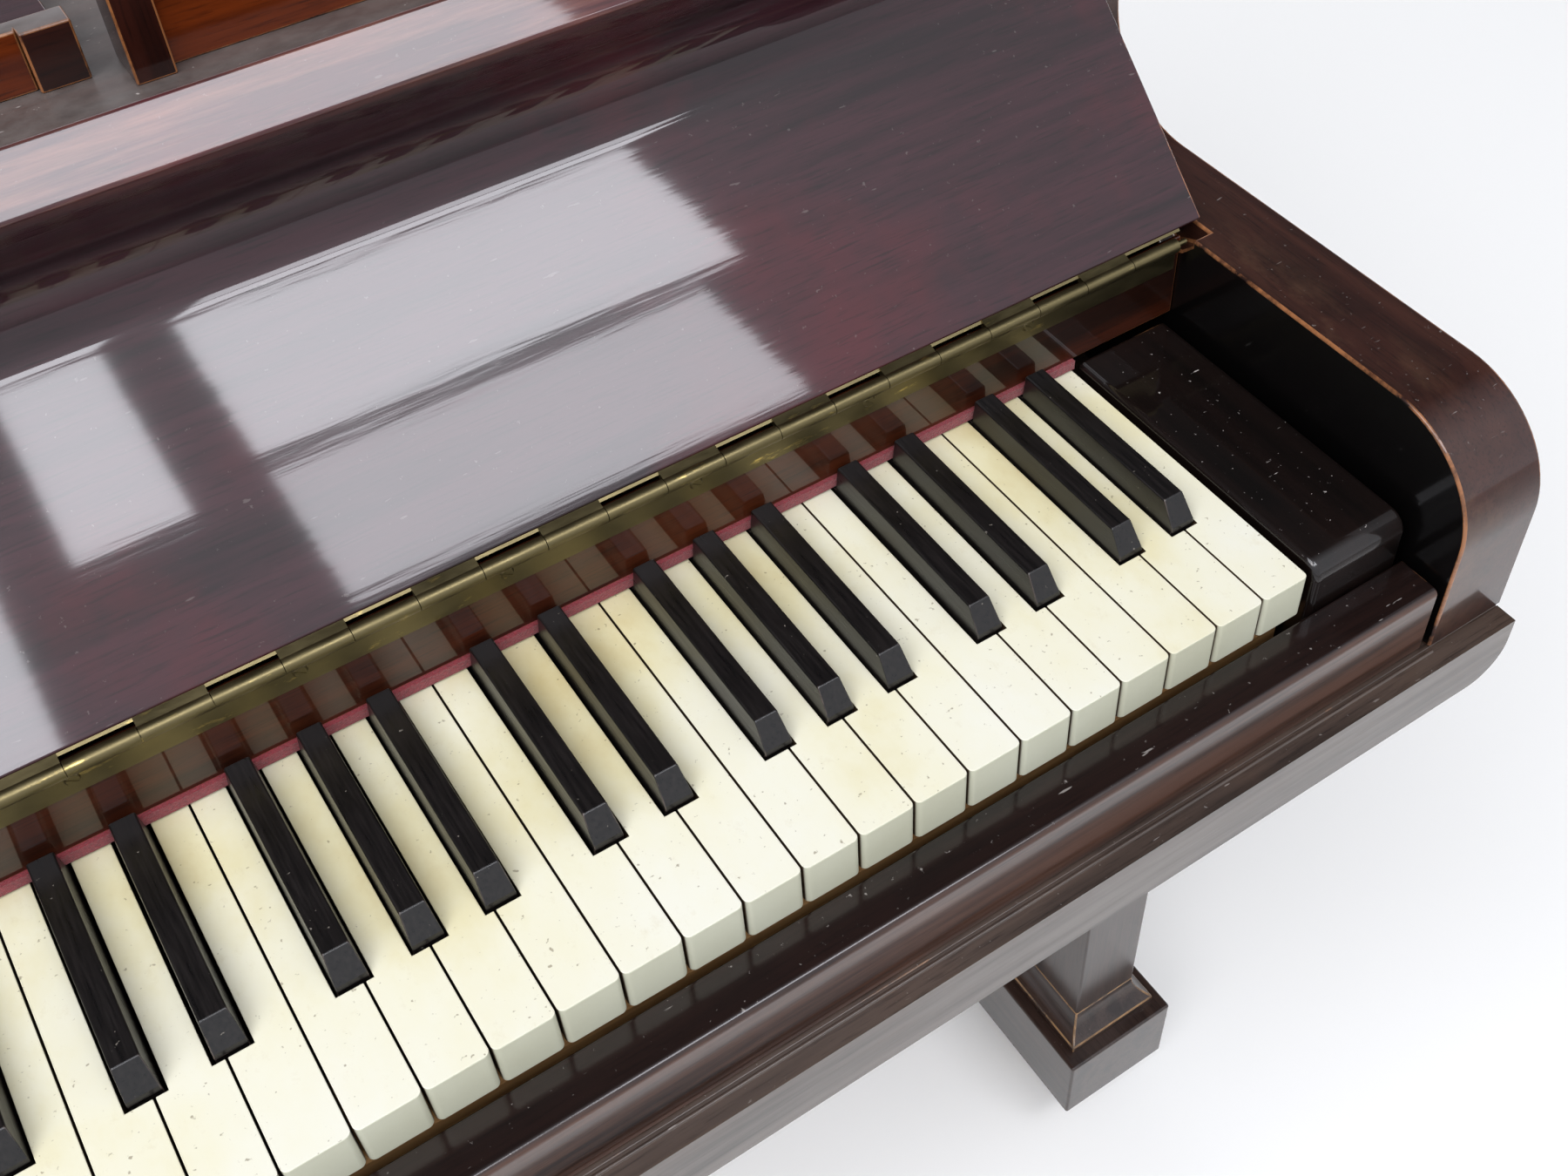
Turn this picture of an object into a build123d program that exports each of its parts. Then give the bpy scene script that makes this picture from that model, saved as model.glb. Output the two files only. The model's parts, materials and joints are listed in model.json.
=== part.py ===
from build123d import *
from math import cos, degrees, atan2, radians, sin, sqrt
import os

# Baby grand piano, in millimetres. +Z is up, the player sits towards -Y, the treble is towards +X.
# The origin is on the floor, under the middle of the whole instrument.
# In YZ sketches, places are given as (d, h): d behind the white keys' fronts, h above their tops.

# ---------------------------------------------------------------- driving dimensions
LENGTH = 1400.0          # front of the keybed nosing to the lid's edge over the tail
KEY_TOP = 705.0          # white key tops above the floor
PITCH = 23.5             # one white key
NOTES = "A A# B C C# D D# E F F# G G#".split()
NOTE_COUNT = 85          # from A up to A, seven octaves
WHITE_COUNT = 50
KEY_GAP = 0.8            # between neighbouring white keys
WHITE_HEAD = 46.6        # full-width part of a white key, in front of the black keys
WHITE_THICK = 22.0
BLACK_FRONT = 47.6
BLACK_RISE = 12.0
BLACK_BASE = 11.6        # width at the white keys' level
BLACK_CROWN = 9.4        # width of the flat top
PLAY_DEPTH = 145.4       # key length in front of the nameboard felt
LEVER_END = 430.0        # back end of the wooden key levers

RIM = 43.3               # thickness of the sides
ARM_GAP = 56.1           # last key to the arm's inner face
ARM_TOP = 49.2
ARM_FRONT = -26.0
ARM_ROUND = 50.0         # round of the arm's front top corner
SWEEP = 52.0             # hollow curve from the arm up to the case front
CASE_FRONT = 248.6
RIM_TOP = 235.0
CASE_FLOOR = -57.8       # underside of the sides and top of the keybed
KEYBED_THICK = 32.2
NOSING_FRONT = -36.3
BEND_R, BEND_ANGLE = 380.0, 66.0      # outer bend of the bentside
WAIST_R, WAIST_ANGLE = 640.0, 52.0    # its hollow waist
TAIL_R = 190.0                        # round from the bentside into the tail
CORNER_R = 80.0                       # spine corner of the tail
BELLY_FRONT, BELLY_BACK = -190.0, -165.0   # Y limits of the rail in front of the soundboard
BELLY_HALF = 634.0
LID_OVERHANG = 8.0
LID_THICK = 20.0

FALL_LEAN = 43.5         # degrees that the open fall slopes back from level
FALL_AXIS = (142.0, 50.0)
FALL_THICK = 22.0
FALL_FOOT = 3.5          # the board starts this far above its hinge edge
FALL_EDGE = (143.6, 51.9)
FALL_REACH = 171.0       # hinge edge to the outside of the lip
LIP_DEPTH = 70.0
LIP_COVE = 30.0
FALL_WIDE_TO = 118.0     # up to here the board lies over the arms
FALL_OVERLAP = 8.4
BARREL_R = 3.0
KNUCKLE = 25.0
HINGE_HALF = 640.0
HINGE_PIN_R = 1.2
REST_RAIL = (82.0, 106.0)   # the rail behind the open fall, along its slope

SLIP_TOP = -21.4
BLOCK_TOP = 3.0
TRAY_TOP = 194.0
CHEEK_INNER = 275.5      # inner end of the panelled upstands beside the music desk
CHEEK_TOP = 232.0
DESK_HALF = 262.0
STILE = 14.0
SHELF_LIP = (286.0, 297.0)
SHELF_LIP_TOP = 216.0
DESK_SPAN = (305.0, 505.0)
DESK_LOW, DESK_HIGH = 195.0, 209.0
DESK_BORDER = 34.0

LID_HINGE_R = 3.7
LID_HINGE_OUT = 4.0      # hinge axis outside the spine
LID_HINGE_YS = (-20.0, 290.0, 560.0)
LID_KNUCKLE = 26.0
LEAF = 1.2
FLAP_LINE = -93.0        # the lid's front flap folds about this line
PROP_FOOT = (590.0, -120.0)
PROP_TIP = (195.0, 215.0)
PROP_H = 178.0
PROP_WIDTH, PROP_THICK = 18.0, 12.0
PROP_PIN_R = 3.0

STRING_H = 116.0
PIN_BLOCK = (258.0, 401.0)
SOUNDBOARD_H = 40.0
STRING_STEP = 18.0
STRING_COUNT = 60
FIRST_STRING = -558.0
PLATE_H = (98.0, 108.0)

FOOT_WIDTH, FOOT_DEPTH, FOOT_HIGH = 86.0, 124.0, 65.0
MOULD_WIDTH, MOULD_DEPTH, MOULD_HIGH = 70.0, 104.0, 25.0
POST_WIDTH, POST_DEPTH = 49.0, 80.0
CASTOR_HIGH = 43.0
WHEEL_R = 15.0
WHEEL_WIDTH = 12.0
CASTOR_TRAIL = 11.0
STEM_R = 5.0
CAP_HIGH = 28.0

PEDAL_X = 55.0
PEDAL_PIVOT = (-400.0, 122.0)
ROD_BEHIND = 30.0        # pedal pivot to the lifting rod
BOX_HALF = 140.0
BOX_Y = (-440.0, -345.0)
BOX_Z = (84.0, 172.0)
WALL = 14.0
AXLE_R = 4.0
RUN = 0.05               # radial clearance of pins that turn
CLEAR = 0.3              # gap between pieces that slide past each other

# ---------------------------------------------------------------- places worked out from them
KEY_FRONT = -LENGTH / 2 - NOSING_FRONT
HALF_KEYS = PITCH * WHITE_COUNT / 2
SIDE_IN = HALF_KEYS + ARM_GAP
SIDE_OUT = SIDE_IN + RIM
KEYBED_HALF = SIDE_OUT - 2
TAIL_Y = LENGTH / 2 - LID_OVERHANG
KEYBED_LOW = CASE_FLOOR - KEYBED_THICK
LID_LOW = RIM_TOP
LID_HIGH = RIM_TOP + LID_THICK
LID_AXIS_X = -SIDE_OUT - LID_HINGE_OUT
FOOT_TOP = CASTOR_HIGH + FOOT_HIGH
LEG_TOP = KEY_TOP + KEYBED_LOW
LEG_X = HALF_KEYS + 54.5
LEG_Y = KEY_FRONT + 93 + FOOT_DEPTH / 2
LEGS = {"bass": (-LEG_X, LEG_Y), "treble": (LEG_X, LEG_Y), "tail": (-210.0, 500.0)}

HEADING_BEND = radians(90 + BEND_ANGLE)
HEADING_WAIST = HEADING_BEND - radians(WAIST_ANGLE)
TAIL_ANGLE = 180 - degrees(HEADING_WAIST)
BENT_TRAVEL = (
    -BEND_R * cos(HEADING_BEND)
    + WAIST_R * (cos(HEADING_WAIST) - cos(HEADING_BEND))
    + TAIL_R * (cos(HEADING_WAIST) + 1)
)
STRAIGHT_END = TAIL_Y - BENT_TRAVEL
BEND_C = Vector(SIDE_OUT - BEND_R, STRAIGHT_END)
TO_WAIST = Vector(sin(HEADING_BEND), -cos(HEADING_BEND))
WAIST_C = BEND_C + TO_WAIST * (BEND_R + WAIST_R)
TO_TAIL = Vector(sin(HEADING_WAIST), -cos(HEADING_WAIST))
TAIL_C = WAIST_C - TO_TAIL * (WAIST_R + TAIL_R)


# ---------------------------------------------------------------- helpers
def block(x, y, z):
    """Box between three (low, high) pairs."""
    sides = (x, y, z)
    middle = [(low + high) / 2 for low, high in sides]
    return Pos(*middle) * Box(*[high - low for low, high in sides])


def ranged(d_low, d_high):
    """Y limits of a stretch given behind the key fronts."""
    return (KEY_FRONT + d_low, KEY_FRONT + d_high)


def levels(h_low, h_high):
    """Z limits of a stretch given above the key tops."""
    return (KEY_TOP + h_low, KEY_TOP + h_high)


def rounded(corners):
    """Closed face through (across, up, radius) corners."""
    points = [(across, up) for across, up, _ in corners]
    radii = [radius for _, _, radius in corners]
    return make_face(FilletPolyline(*points, radius=radii, close=True))


def along_x(corners, x_low, x_high):
    """Extrude a (d, h, radius) outline across the piano."""
    face = Pos(KEY_FRONT, KEY_TOP) * rounded(corners)
    return extrude(Plane.YZ.offset(x_low) * face, amount=x_high - x_low)


def both_sides(solid):
    """The solid and its mirror image on the other side of the piano."""
    return [solid, mirror(solid, Plane.YZ)]


def rod(start, end, radius):
    """Round bar between two points."""
    run = Vector(*end) - Vector(*start)
    return extrude(Plane(origin=start, z_dir=run) * Circle(radius), amount=run.length)


def behind(front, back=LENGTH):
    """Wide rectangle between two Y limits."""
    return Pos(0, (front + back) / 2) * Rectangle(2 * LENGTH, back - front)


def plan(inset, front):
    """Outline of the case from above, moved in by inset, cut off at y = front."""
    half = SIDE_OUT - inset
    tail = TAIL_Y - inset
    corner = CORNER_R - inset
    bend = JernArc((half, STRAIGHT_END), (0, 1), BEND_R - inset, BEND_ANGLE)
    waist = JernArc(bend @ 1, bend % 1, WAIST_R + inset, -WAIST_ANGLE)
    into_tail = JernArc(waist @ 1, waist % 1, TAIL_R - inset, TAIL_ANGLE)
    spine_corner = JernArc((corner - half, tail), (-1, 0), corner, 90)
    spine = Polyline(spine_corner @ 1, (-half, -LENGTH), (half, -LENGTH), bend @ 0)
    tail_line = Line(into_tail @ 1, spine_corner @ 0)
    outline = make_face([bend, waist, into_tail, tail_line, spine_corner, spine])
    return outline & behind(front)


def slab(face, z):
    """Flat piece of a plan outline between two heights."""
    return extrude(Pos(0, 0, z[0]) * face, amount=z[1] - z[0])


def reach(x, inset):
    """How far back the case reaches at x, on a line moved in by inset."""
    if x > BEND_C.X + TO_WAIST.X * (BEND_R - inset):
        return BEND_C.Y + sqrt((BEND_R - inset) ** 2 - (x - BEND_C.X) ** 2)
    if x > TAIL_C.X + TO_TAIL.X * (TAIL_R - inset):
        return WAIST_C.Y - sqrt((WAIST_R + inset) ** 2 - (x - WAIST_C.X) ** 2)
    if x > TAIL_C.X:
        return TAIL_C.Y + sqrt((TAIL_R - inset) ** 2 - (x - TAIL_C.X) ** 2)
    return TAIL_Y - inset


# ---------------------------------------------------------------- case
def case_side(back):
    """Treble side: the arm, its hollow sweep and the straight side, back to y = back."""
    end = back - KEY_FRONT
    corners = [
        (ARM_FRONT, CASE_FLOOR, 0),
        (ARM_FRONT, ARM_TOP, ARM_ROUND),
        (CASE_FRONT, ARM_TOP, SWEEP),
        (CASE_FRONT, RIM_TOP, 2),
        (end, RIM_TOP, 0),
        (end, CASE_FLOOR, 0),
    ]
    side = along_x(corners, SIDE_IN, SIDE_OUT)
    rebate = [(141, 46, 0), (147, 40, 0), (160, 34.5, 0), (178, 51, 0), (141, 51, 0)]
    return side - along_x(rebate, SIDE_IN, SIDE_IN + FALL_OVERLAP + 1)


def case_wall():
    """The bent wall behind the straight sides."""
    height = levels(CASE_FLOOR, RIM_TOP)
    return slab(plan(0, STRAIGHT_END) - plan(RIM, STRAIGHT_END - 1), height)


def bentside():
    space = block((TAIL_C.X, SIDE_OUT), (STRAIGHT_END, TAIL_Y), levels(CASE_FLOOR, RIM_TOP))
    return case_wall() & space


def tail_end():
    spine_end = TAIL_Y - CORNER_R
    space = block((-SIDE_OUT, TAIL_C.X), (spine_end, TAIL_Y), levels(CASE_FLOOR, RIM_TOP))
    return case_wall() & space


def inner_rim():
    ledge = plan(RIM, BELLY_BACK) - plan(RIM + 22, BELLY_BACK - 1)
    return slab(ledge, levels(CASE_FLOOR, SOUNDBOARD_H))


def belly_rail():
    return block((-BELLY_HALF, BELLY_HALF), (BELLY_FRONT, BELLY_BACK), levels(CASE_FLOOR, SOUNDBOARD_H))


def case_beams():
    beams = []
    for x in (-450.0, LEGS["tail"][0], 60.0):
        back = min(reach(x - 30, RIM + 22), reach(x + 30, RIM + 22)) - 1
        beams.append(block((x - 30, x + 30), (BELLY_BACK, back), levels(CASE_FLOOR, -10)))
    return beams


def keybed():
    depth = (KEY_FRONT + ARM_FRONT, BELLY_FRONT)
    bed = block((-KEYBED_HALF, KEYBED_HALF), depth, levels(KEYBED_LOW, CASE_FLOOR))
    for x in (-PEDAL_X, PEDAL_X):
        bed -= Pos(x, PEDAL_PIVOT[0] + ROD_BEHIND, LEG_TOP) * Cylinder(7, 3 * KEYBED_THICK)
    return bed


def keybed_nosing():
    """Front board under the arms, with a fine bead on its top edge."""
    ends = 19.0
    low, top = KEYBED_LOW, CASE_FLOOR
    half = KEYBED_HALF
    front = rounded([(-half, low, ends), (half, low, ends), (half, top, 0), (-half, top, 0)])
    depth = ARM_FRONT - NOSING_FRONT
    face = Plane.XZ.offset(-(KEY_FRONT + ARM_FRONT)) * (Pos(0, KEY_TOP) * front)
    board = extrude(face, amount=depth)
    bead_r = 0.8
    bead_y = KEY_FRONT + ARM_FRONT - 2
    bead = rod((-SIDE_IN, bead_y, KEY_TOP + top), (SIDE_IN, bead_y, KEY_TOP + top), bead_r)
    return board + bead


def key_slip():
    corners = [(-24.1, CASE_FLOOR, 0), (-24.1, SLIP_TOP, 3), (-3, SLIP_TOP, 1.5), (-3, CASE_FLOOR, 0)]
    return along_x(corners, 3 - SIDE_IN, SIDE_IN - 3)


def key_blocks():
    corners = [(-2, CASE_FLOOR, 0), (-2, BLOCK_TOP, 9), (147, BLOCK_TOP, 0), (147, CASE_FLOOR, 0)]
    cheek = along_x(corners, HALF_KEYS + 2.5, SIDE_IN - 4)
    top = [edge for edge in cheek.edges().filter_by(Axis.Y) if edge.center().Z > KEY_TOP]
    return both_sides(fillet(top, 3))


def nameboard():
    corners = [(148, 6, 0), (148, 48, 0.8), (151, 46, 0), (160, 34, 0), (160, 6, 0)]
    return along_x(corners, 0.4 - SIDE_IN, SIDE_IN - 0.4)


def nameboard_felt():
    return block((-HALF_KEYS, HALF_KEYS), ranged(146.2, 149.6), levels(1.4, 6))


# ---------------------------------------------------------------- fall
def fall_point(s, n):
    """(d, h) of a point s up the open fall and n out of its face."""
    lean = radians(FALL_LEAN)
    return (
        FALL_EDGE[0] + s * cos(lean) - n * sin(lean),
        FALL_EDGE[1] + s * sin(lean) + n * cos(lean),
    )


def on_fall(corners, x_low, x_high):
    """Extrude an outline given as (s, n, radius) on the open fall."""
    return along_x([(*fall_point(s, n), radius) for s, n, radius in corners], x_low, x_high)


def fallboard():
    """Board with a coved lip along its top; narrower above the arms."""
    inside = FALL_REACH - FALL_THICK
    corners = [
        (FALL_FOOT, -FALL_THICK, 0),
        (FALL_FOOT, 0, 1),
        (inside, 0, LIP_COVE),
        (inside, LIP_DEPTH, 1.5),
        (FALL_REACH, LIP_DEPTH, 1.5),
        (FALL_REACH, -FALL_THICK, LIP_COVE + FALL_THICK),
    ]
    wide = SIDE_IN + FALL_OVERLAP
    narrow = SIDE_IN - 0.8
    board = on_fall(corners, -wide, wide)
    beyond = [
        (FALL_WIDE_TO, -2 * FALL_THICK, 0),
        (FALL_WIDE_TO, LIP_DEPTH + 10, 0),
        (FALL_REACH + 20, LIP_DEPTH + 10, 0),
        (FALL_REACH + 20, -2 * FALL_THICK, 0),
    ]
    for end in both_sides(on_fall(beyond, narrow, wide + 1)):
        board -= end
    return board


def knuckles(tab, start):
    """Every second knuckle of the long hinge, each with the tab that joins it to its leaf."""
    y, z = KEY_FRONT + FALL_AXIS[0], KEY_TOP + FALL_AXIS[1]
    pieces = []
    count = int(2 * HINGE_HALF // KNUCKLE)
    for index in range(start, count, 2):
        low = -HINGE_HALF + index * KNUCKLE
        high = low + KNUCKLE - CLEAR
        barrel = rod((low, y, z), (high, y, z), BARREL_R)
        bore = rod((low - 1, y, z), (high + 1, y, z), HINGE_PIN_R + RUN)
        pieces.append(barrel + along_x(tab, low, high) - bore)
    return pieces


def fall_hinge_leaf():
    """Fixed brass leaf on the nameboard with its knuckles."""
    section = [(146.8, 32, 0), (148, 32, 0), (148, 47, 0), (146.8, 47, 0)]
    leaf = along_x(section, -HINGE_HALF, HINGE_HALF)
    tab = [(142.5, 47.2, 0), (146.8, 45, 0), (147.9, 47, 0), (144.5, 51.4, 0)]
    return leaf + knuckles(tab, 0)


def fall_hinge_flap():
    """Moving brass leaf on the foot of the fall with its knuckles."""
    foot = FALL_FOOT
    section = [(foot - 1.2, -18, 0), (foot - 1.2, -1, 0), (foot, -1, 0), (foot, -18, 0)]
    leaf = on_fall(section, -HINGE_HALF, HINGE_HALF)
    tab = [(*fall_point(s, n), 0) for s, n in ((-2.4, 2.5), (foot, -0.6), (foot, -4), (-0.5, -2.2))]
    return leaf + knuckles(tab, 1)


def fall_hinge_pin():
    y, z = KEY_FRONT + FALL_AXIS[0], KEY_TOP + FALL_AXIS[1]
    return rod((-HINGE_HALF, y, z), (HINGE_HALF, y, z), HINGE_PIN_R)


def hinge_screws():
    """Slotted brass screw heads along the fixed leaf."""
    screws = []
    spacing = 80.0
    for index in range(-7, 8):
        head = Pos(index * spacing, 0, KEY_TOP + 39) * (Rot(90, 0, 0) * Cone(2.8, 2.2, 0.7))
        slot = Pos(index * spacing, -0.35, KEY_TOP + 39) * (Rot(0, 35, 0) * Box(6, 0.4, 0.6))
        screws.append(Pos(0, KEY_FRONT + 146.8 - 0.35, 0) * (head - slot))
    return screws


def fall_rest_rail():
    """Rail across the case that the open fall leans on."""
    low, high = REST_RAIL
    face = -FALL_THICK - 1.5
    corners = [(low, face - 20.5, 0), (low, face, 1), (high, face, 1), (high, face - 20.5, 0)]
    return on_fall(corners, 0.4 - SIDE_IN, SIDE_IN - 0.4)


def fall_rest_felt():
    low, high = REST_RAIL[0] + 4, REST_RAIL[1] - 4
    face = -FALL_THICK - 1.5
    corners = [(low, face, 0), (low, face + 1.3, 0), (high, face + 1.3, 0), (high, face, 0)]
    return on_fall(corners, -HALF_KEYS, HALF_KEYS)


# ---------------------------------------------------------------- keyboard
def key_places():
    """(note, left edge, slot width, is black) for each key's strip at its back."""
    places = []
    short, long = ["C", "C#", "D", "D#", "E"], ["F", "F#", "G", "G#", "A", "A#", "B"]
    group = long
    position = group.index("A")
    left = -HALF_KEYS - 2 * PITCH
    while len(places) < NOTE_COUNT:
        strip = (len(group) + 1) / 2 * PITCH / len(group)
        for index in range(position, len(group)):
            if len(places) < NOTE_COUNT:
                places.append((group[index], left + index * strip, strip, "#" in group[index]))
        left += (len(group) + 1) / 2 * PITCH
        position = 0
        group = short if group == long else long
    return places


def white_key(head_low, back_low, back_high):
    """White key from its left edge and the strip that is left for it between black keys."""
    low, high = head_low + KEY_GAP / 2, head_low + PITCH - KEY_GAP / 2
    back_low, back_high = max(low, back_low), min(high, back_high)
    front, shoulder, end = KEY_FRONT, KEY_FRONT + WHITE_HEAD, KEY_FRONT + LEVER_END
    corner = 2.5
    outline = [(low, front, corner), (high, front, corner)]
    if high - back_high > KEY_GAP:
        outline += [(high, shoulder, 0), (back_high, shoulder, 0)]
    outline += [(back_high, end, 0), (back_low, end, 0)]
    if back_low - low > KEY_GAP:
        outline += [(back_low, shoulder, 0), (low, shoulder, 0)]
    return slab(rounded(outline), levels(-WHITE_THICK, 0))


def black_key(centre):
    """Black key: a wooden lever under a tapered top with a bevelled front."""
    half_base, half_crown = BLACK_BASE / 2, BLACK_CROWN / 2
    width = (centre - half_base, centre + half_base)
    stick = block(width, ranged(BLACK_FRONT + 1, LEVER_END), levels(-WHITE_THICK, 0))
    side = [
        (BLACK_FRONT, 0, 0),
        (BLACK_FRONT + 0.6, 2.2, 0.5),
        (BLACK_FRONT + 8, BLACK_RISE, 1.2),
        (PLAY_DEPTH, BLACK_RISE, 0.5),
        (PLAY_DEPTH, 0, 0),
    ]
    top = along_x(side, *width)
    section = [
        (centre - half_base, 0, 0),
        (centre + half_base, 0, 0),
        (centre + half_crown, BLACK_RISE, 0.9),
        (centre - half_crown, BLACK_RISE, 0.9),
    ]
    face = Plane.XZ.offset(-(KEY_FRONT + PLAY_DEPTH)) * (Pos(0, KEY_TOP) * rounded(section))
    return stick + (top & extrude(face, amount=PLAY_DEPTH))


def keys_by_note():
    """All keys, gathered under their note names."""
    gathered = {note: [] for note in NOTES}
    places = key_places()
    whites = 0
    last = NOTE_COUNT - 1
    for number, (note, left, strip, is_black) in enumerate(places):
        if is_black:
            gathered[note].append(black_key(left + strip / 2))
            continue
        head_low = -HALF_KEYS + whites * PITCH
        whites += 1
        low_neighbour = number > 0 and places[number - 1][3]
        high_neighbour = number < last and places[number + 1][3]
        back_low = left if low_neighbour else head_low
        back_high = left + strip if high_neighbour else head_low + PITCH
        gathered[note].append(white_key(head_low, back_low, back_high))
    return gathered


def key_frame():
    """Front, balance and back rails that the keys ride on."""
    rails = []
    for d_low, d_high, top in ((10, 44, -40), (222, 248, -24), (396, 428, -24)):
        rails.append(block((-HALF_KEYS, HALF_KEYS), ranged(d_low, d_high), levels(CASE_FLOOR, top)))
    return rails


# ---------------------------------------------------------------- action, strings and plate
def per_key(shape):
    """One copy of a shape at the middle of every key lever."""
    return [Pos(left + strip / 2, 0, 0) * shape for _, left, strip, _ in key_places()]


def wippens():
    return per_key(block((-4, 4), ranged(330, 424), levels(11, 20)))


def hammers():
    """Felt heads on maple shanks, resting under the strings."""
    head = block((-3.5, 3.5), ranged(419, 431), levels(36, 84))
    nose = Pos(0, KEY_FRONT + 425, KEY_TOP + 84) * (Rot(0, 90, 0) * Cylinder(6, 7))
    shank = rod((0, KEY_FRONT + 321, KEY_TOP + 41), (0, KEY_FRONT + 420, KEY_TOP + 41), 2.5)
    return per_key(head + nose + shank)


def action_rack():
    rail = block((-HALF_KEYS - 12, HALF_KEYS + 12), ranged(300, 320), levels(30, 52))
    bracket = block((HALF_KEYS + 6, HALF_KEYS + 12), ranged(296, 424), levels(CASE_FLOOR, 30))
    return [rail] + both_sides(bracket)


def pin_block():
    return block((0.4 - SIDE_IN, SIDE_IN - 0.4), ranged(*PIN_BLOCK), levels(62, 98))


def soundboard():
    return slab(plan(RIM + 1, BELLY_FRONT), levels(SOUNDBOARD_H, SOUNDBOARD_H + 8))


def bridge():
    """Long bridge that follows the bentside."""
    inset, width = 118.0, 26.0
    strip = plan(inset, BELLY_BACK) - plan(inset + width, BELLY_BACK - 1)
    strip &= Pos(0, 260) * Rectangle(2 * (TAIL_C.X + 560), 760)
    kept = [face for face in strip.faces() if face.center().X > TAIL_C.X]
    return slab(kept[0], levels(SOUNDBOARD_H + 8, STRING_H - 3))


def string_places():
    """X of each string, from the bass to the treble."""
    return [FIRST_STRING + index * STRING_STEP for index in range(STRING_COUNT)]


def strings():
    """Copper-wound bass strings, thinning to plain steel trebles."""
    wires = []
    for index, x in enumerate(string_places()):
        radius = 1.5 - index * 0.014
        start = KEY_FRONT + PIN_BLOCK[0] + 30 + 20 * (index % 3)
        end = reach(x, RIM + 55)
        height = KEY_TOP + STRING_H
        wires.append(rod((x, start, height), (x, end, height), radius))
    return wires


def tuning_pins():
    pins = []
    for index, x in enumerate(string_places()):
        y = KEY_FRONT + PIN_BLOCK[0] + 24 + 20 * (index % 3)
        pins.append(rod((x, y, KEY_TOP + 108.2), (x, y, KEY_TOP + 138), 3.4))
    return pins


def plate_strut(x, front):
    """Strut over the strings, between two of them, with a lug at each end."""
    width = (x - 4.5, x + 4.5)
    back = reach(x, RIM + 20)
    bar = block(width, (front - 20, back), levels(STRING_H + 4, STRING_H + 18))
    lug = levels(PLATE_H[1], STRING_H + 4)
    feet = [block(width, (low, low + 20), lug) for low in (front - 20, back - 20)]
    return bar + feet


def iron_plate():
    """Cast frame: a web over the pin block, a border and struts, standing on lugs."""
    border = 46.0
    front = KEY_FRONT + PIN_BLOCK[0]
    outside = plan(RIM + 2, front)
    web_back = KEY_FRONT + PIN_BLOCK[1] - 6
    opening = plan(RIM + 2 + border, web_back)
    plate = slab(outside - opening, levels(*PLATE_H))
    for index in (9, 25, 41):
        plate += plate_strut(string_places()[index] + STRING_STEP / 2, web_back)
    lug_z = levels(SOUNDBOARD_H + 8, PLATE_H[0])
    for x, y in ((-610, 50), (-610, 560), (-330, 618), (0, 560), (300, 130), (560, -60)):
        plate += Pos(x, y, (lug_z[0] + lug_z[1]) / 2) * Cylinder(14, lug_z[1] - lug_z[0])
    return plate


def dampers():
    """Black damper heads over the strings, each on its wire and felt."""
    pieces = []
    for x in string_places()[:46]:
        head = block((x - 4, x + 4), ranged(440, 468), levels(STRING_H + 6, STRING_H + 18))
        felt = block((x - 3, x + 3), ranged(442, 466), levels(STRING_H + 2, STRING_H + 6))
        pieces.append(head + felt)
    return pieces


# ---------------------------------------------------------------- music desk
def music_tray():
    front, back = ranged(261, 520)
    return slab(plan(RIM + 0.4, front) & behind(front, back), levels(TRAY_TOP - 12, TRAY_TOP))


def tray_rails():
    return both_sides(block((SIDE_IN - 20, SIDE_IN), ranged(268, 420), levels(TRAY_TOP - 30, TRAY_TOP - 12)))


def desk_cheeks():
    """Panelled upstands between the desk and the sides: stiles and a top rail."""
    outer = SIDE_IN - 0.4
    cheek = block((CHEEK_INNER, outer), ranged(272, 294), levels(TRAY_TOP, CHEEK_TOP))
    field_x = (CHEEK_INNER + STILE, outer - STILE)
    field = block(field_x, ranged(271, 284), levels(TRAY_TOP - 1, CHEEK_TOP - 8))
    return both_sides(cheek - field)


def cheek_panels():
    outer = SIDE_IN - 0.4
    panel = block((CHEEK_INNER + STILE, outer - STILE), ranged(278, 284), levels(TRAY_TOP, CHEEK_TOP - 8))
    return both_sides(panel)


def shelf_lip():
    """Low panelled front of the music shelf, between the cheeks."""
    half = DESK_HALF + 3
    board = block((-half, half), ranged(*SHELF_LIP), levels(TRAY_TOP, SHELF_LIP_TOP))
    field_half = half - STILE - 3
    depth = ranged(SHELF_LIP[0] - 1, SHELF_LIP[0] + 7)
    return board - block((-field_half, field_half), depth, levels(TRAY_TOP - 1, SHELF_LIP_TOP + 1))


def shelf_lip_panel():
    half = DESK_HALF - STILE
    return block((-half, half), ranged(SHELF_LIP[0] + 3, SHELF_LIP[0] + 7), levels(TRAY_TOP, SHELF_LIP_TOP))


def music_desk():
    """Frame and panel of the folding desk, lying flat behind the shelf lip."""
    frame = block((-DESK_HALF, DESK_HALF), ranged(*DESK_SPAN), levels(DESK_LOW, DESK_HIGH))
    inside = ranged(DESK_SPAN[0] + DESK_BORDER, DESK_SPAN[1] - DESK_BORDER)
    width = (DESK_BORDER - DESK_HALF, DESK_HALF - DESK_BORDER)
    frame -= block(width, inside, levels(DESK_LOW - 1, DESK_HIGH + 1))
    return [frame, block(width, inside, levels(DESK_LOW + 4, DESK_HIGH - 4))]


# ---------------------------------------------------------------- lid
def lid_outline(front, back):
    """Lid outline between two Y limits: overhanging except along the spine."""
    width = 2 * SIDE_OUT + LID_OVERHANG
    middle = LID_OVERHANG / 2
    window = Pos(middle, (front + back) / 2) * Rectangle(width, back - front)
    return plan(-LID_OVERHANG, -LENGTH) & window


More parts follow.
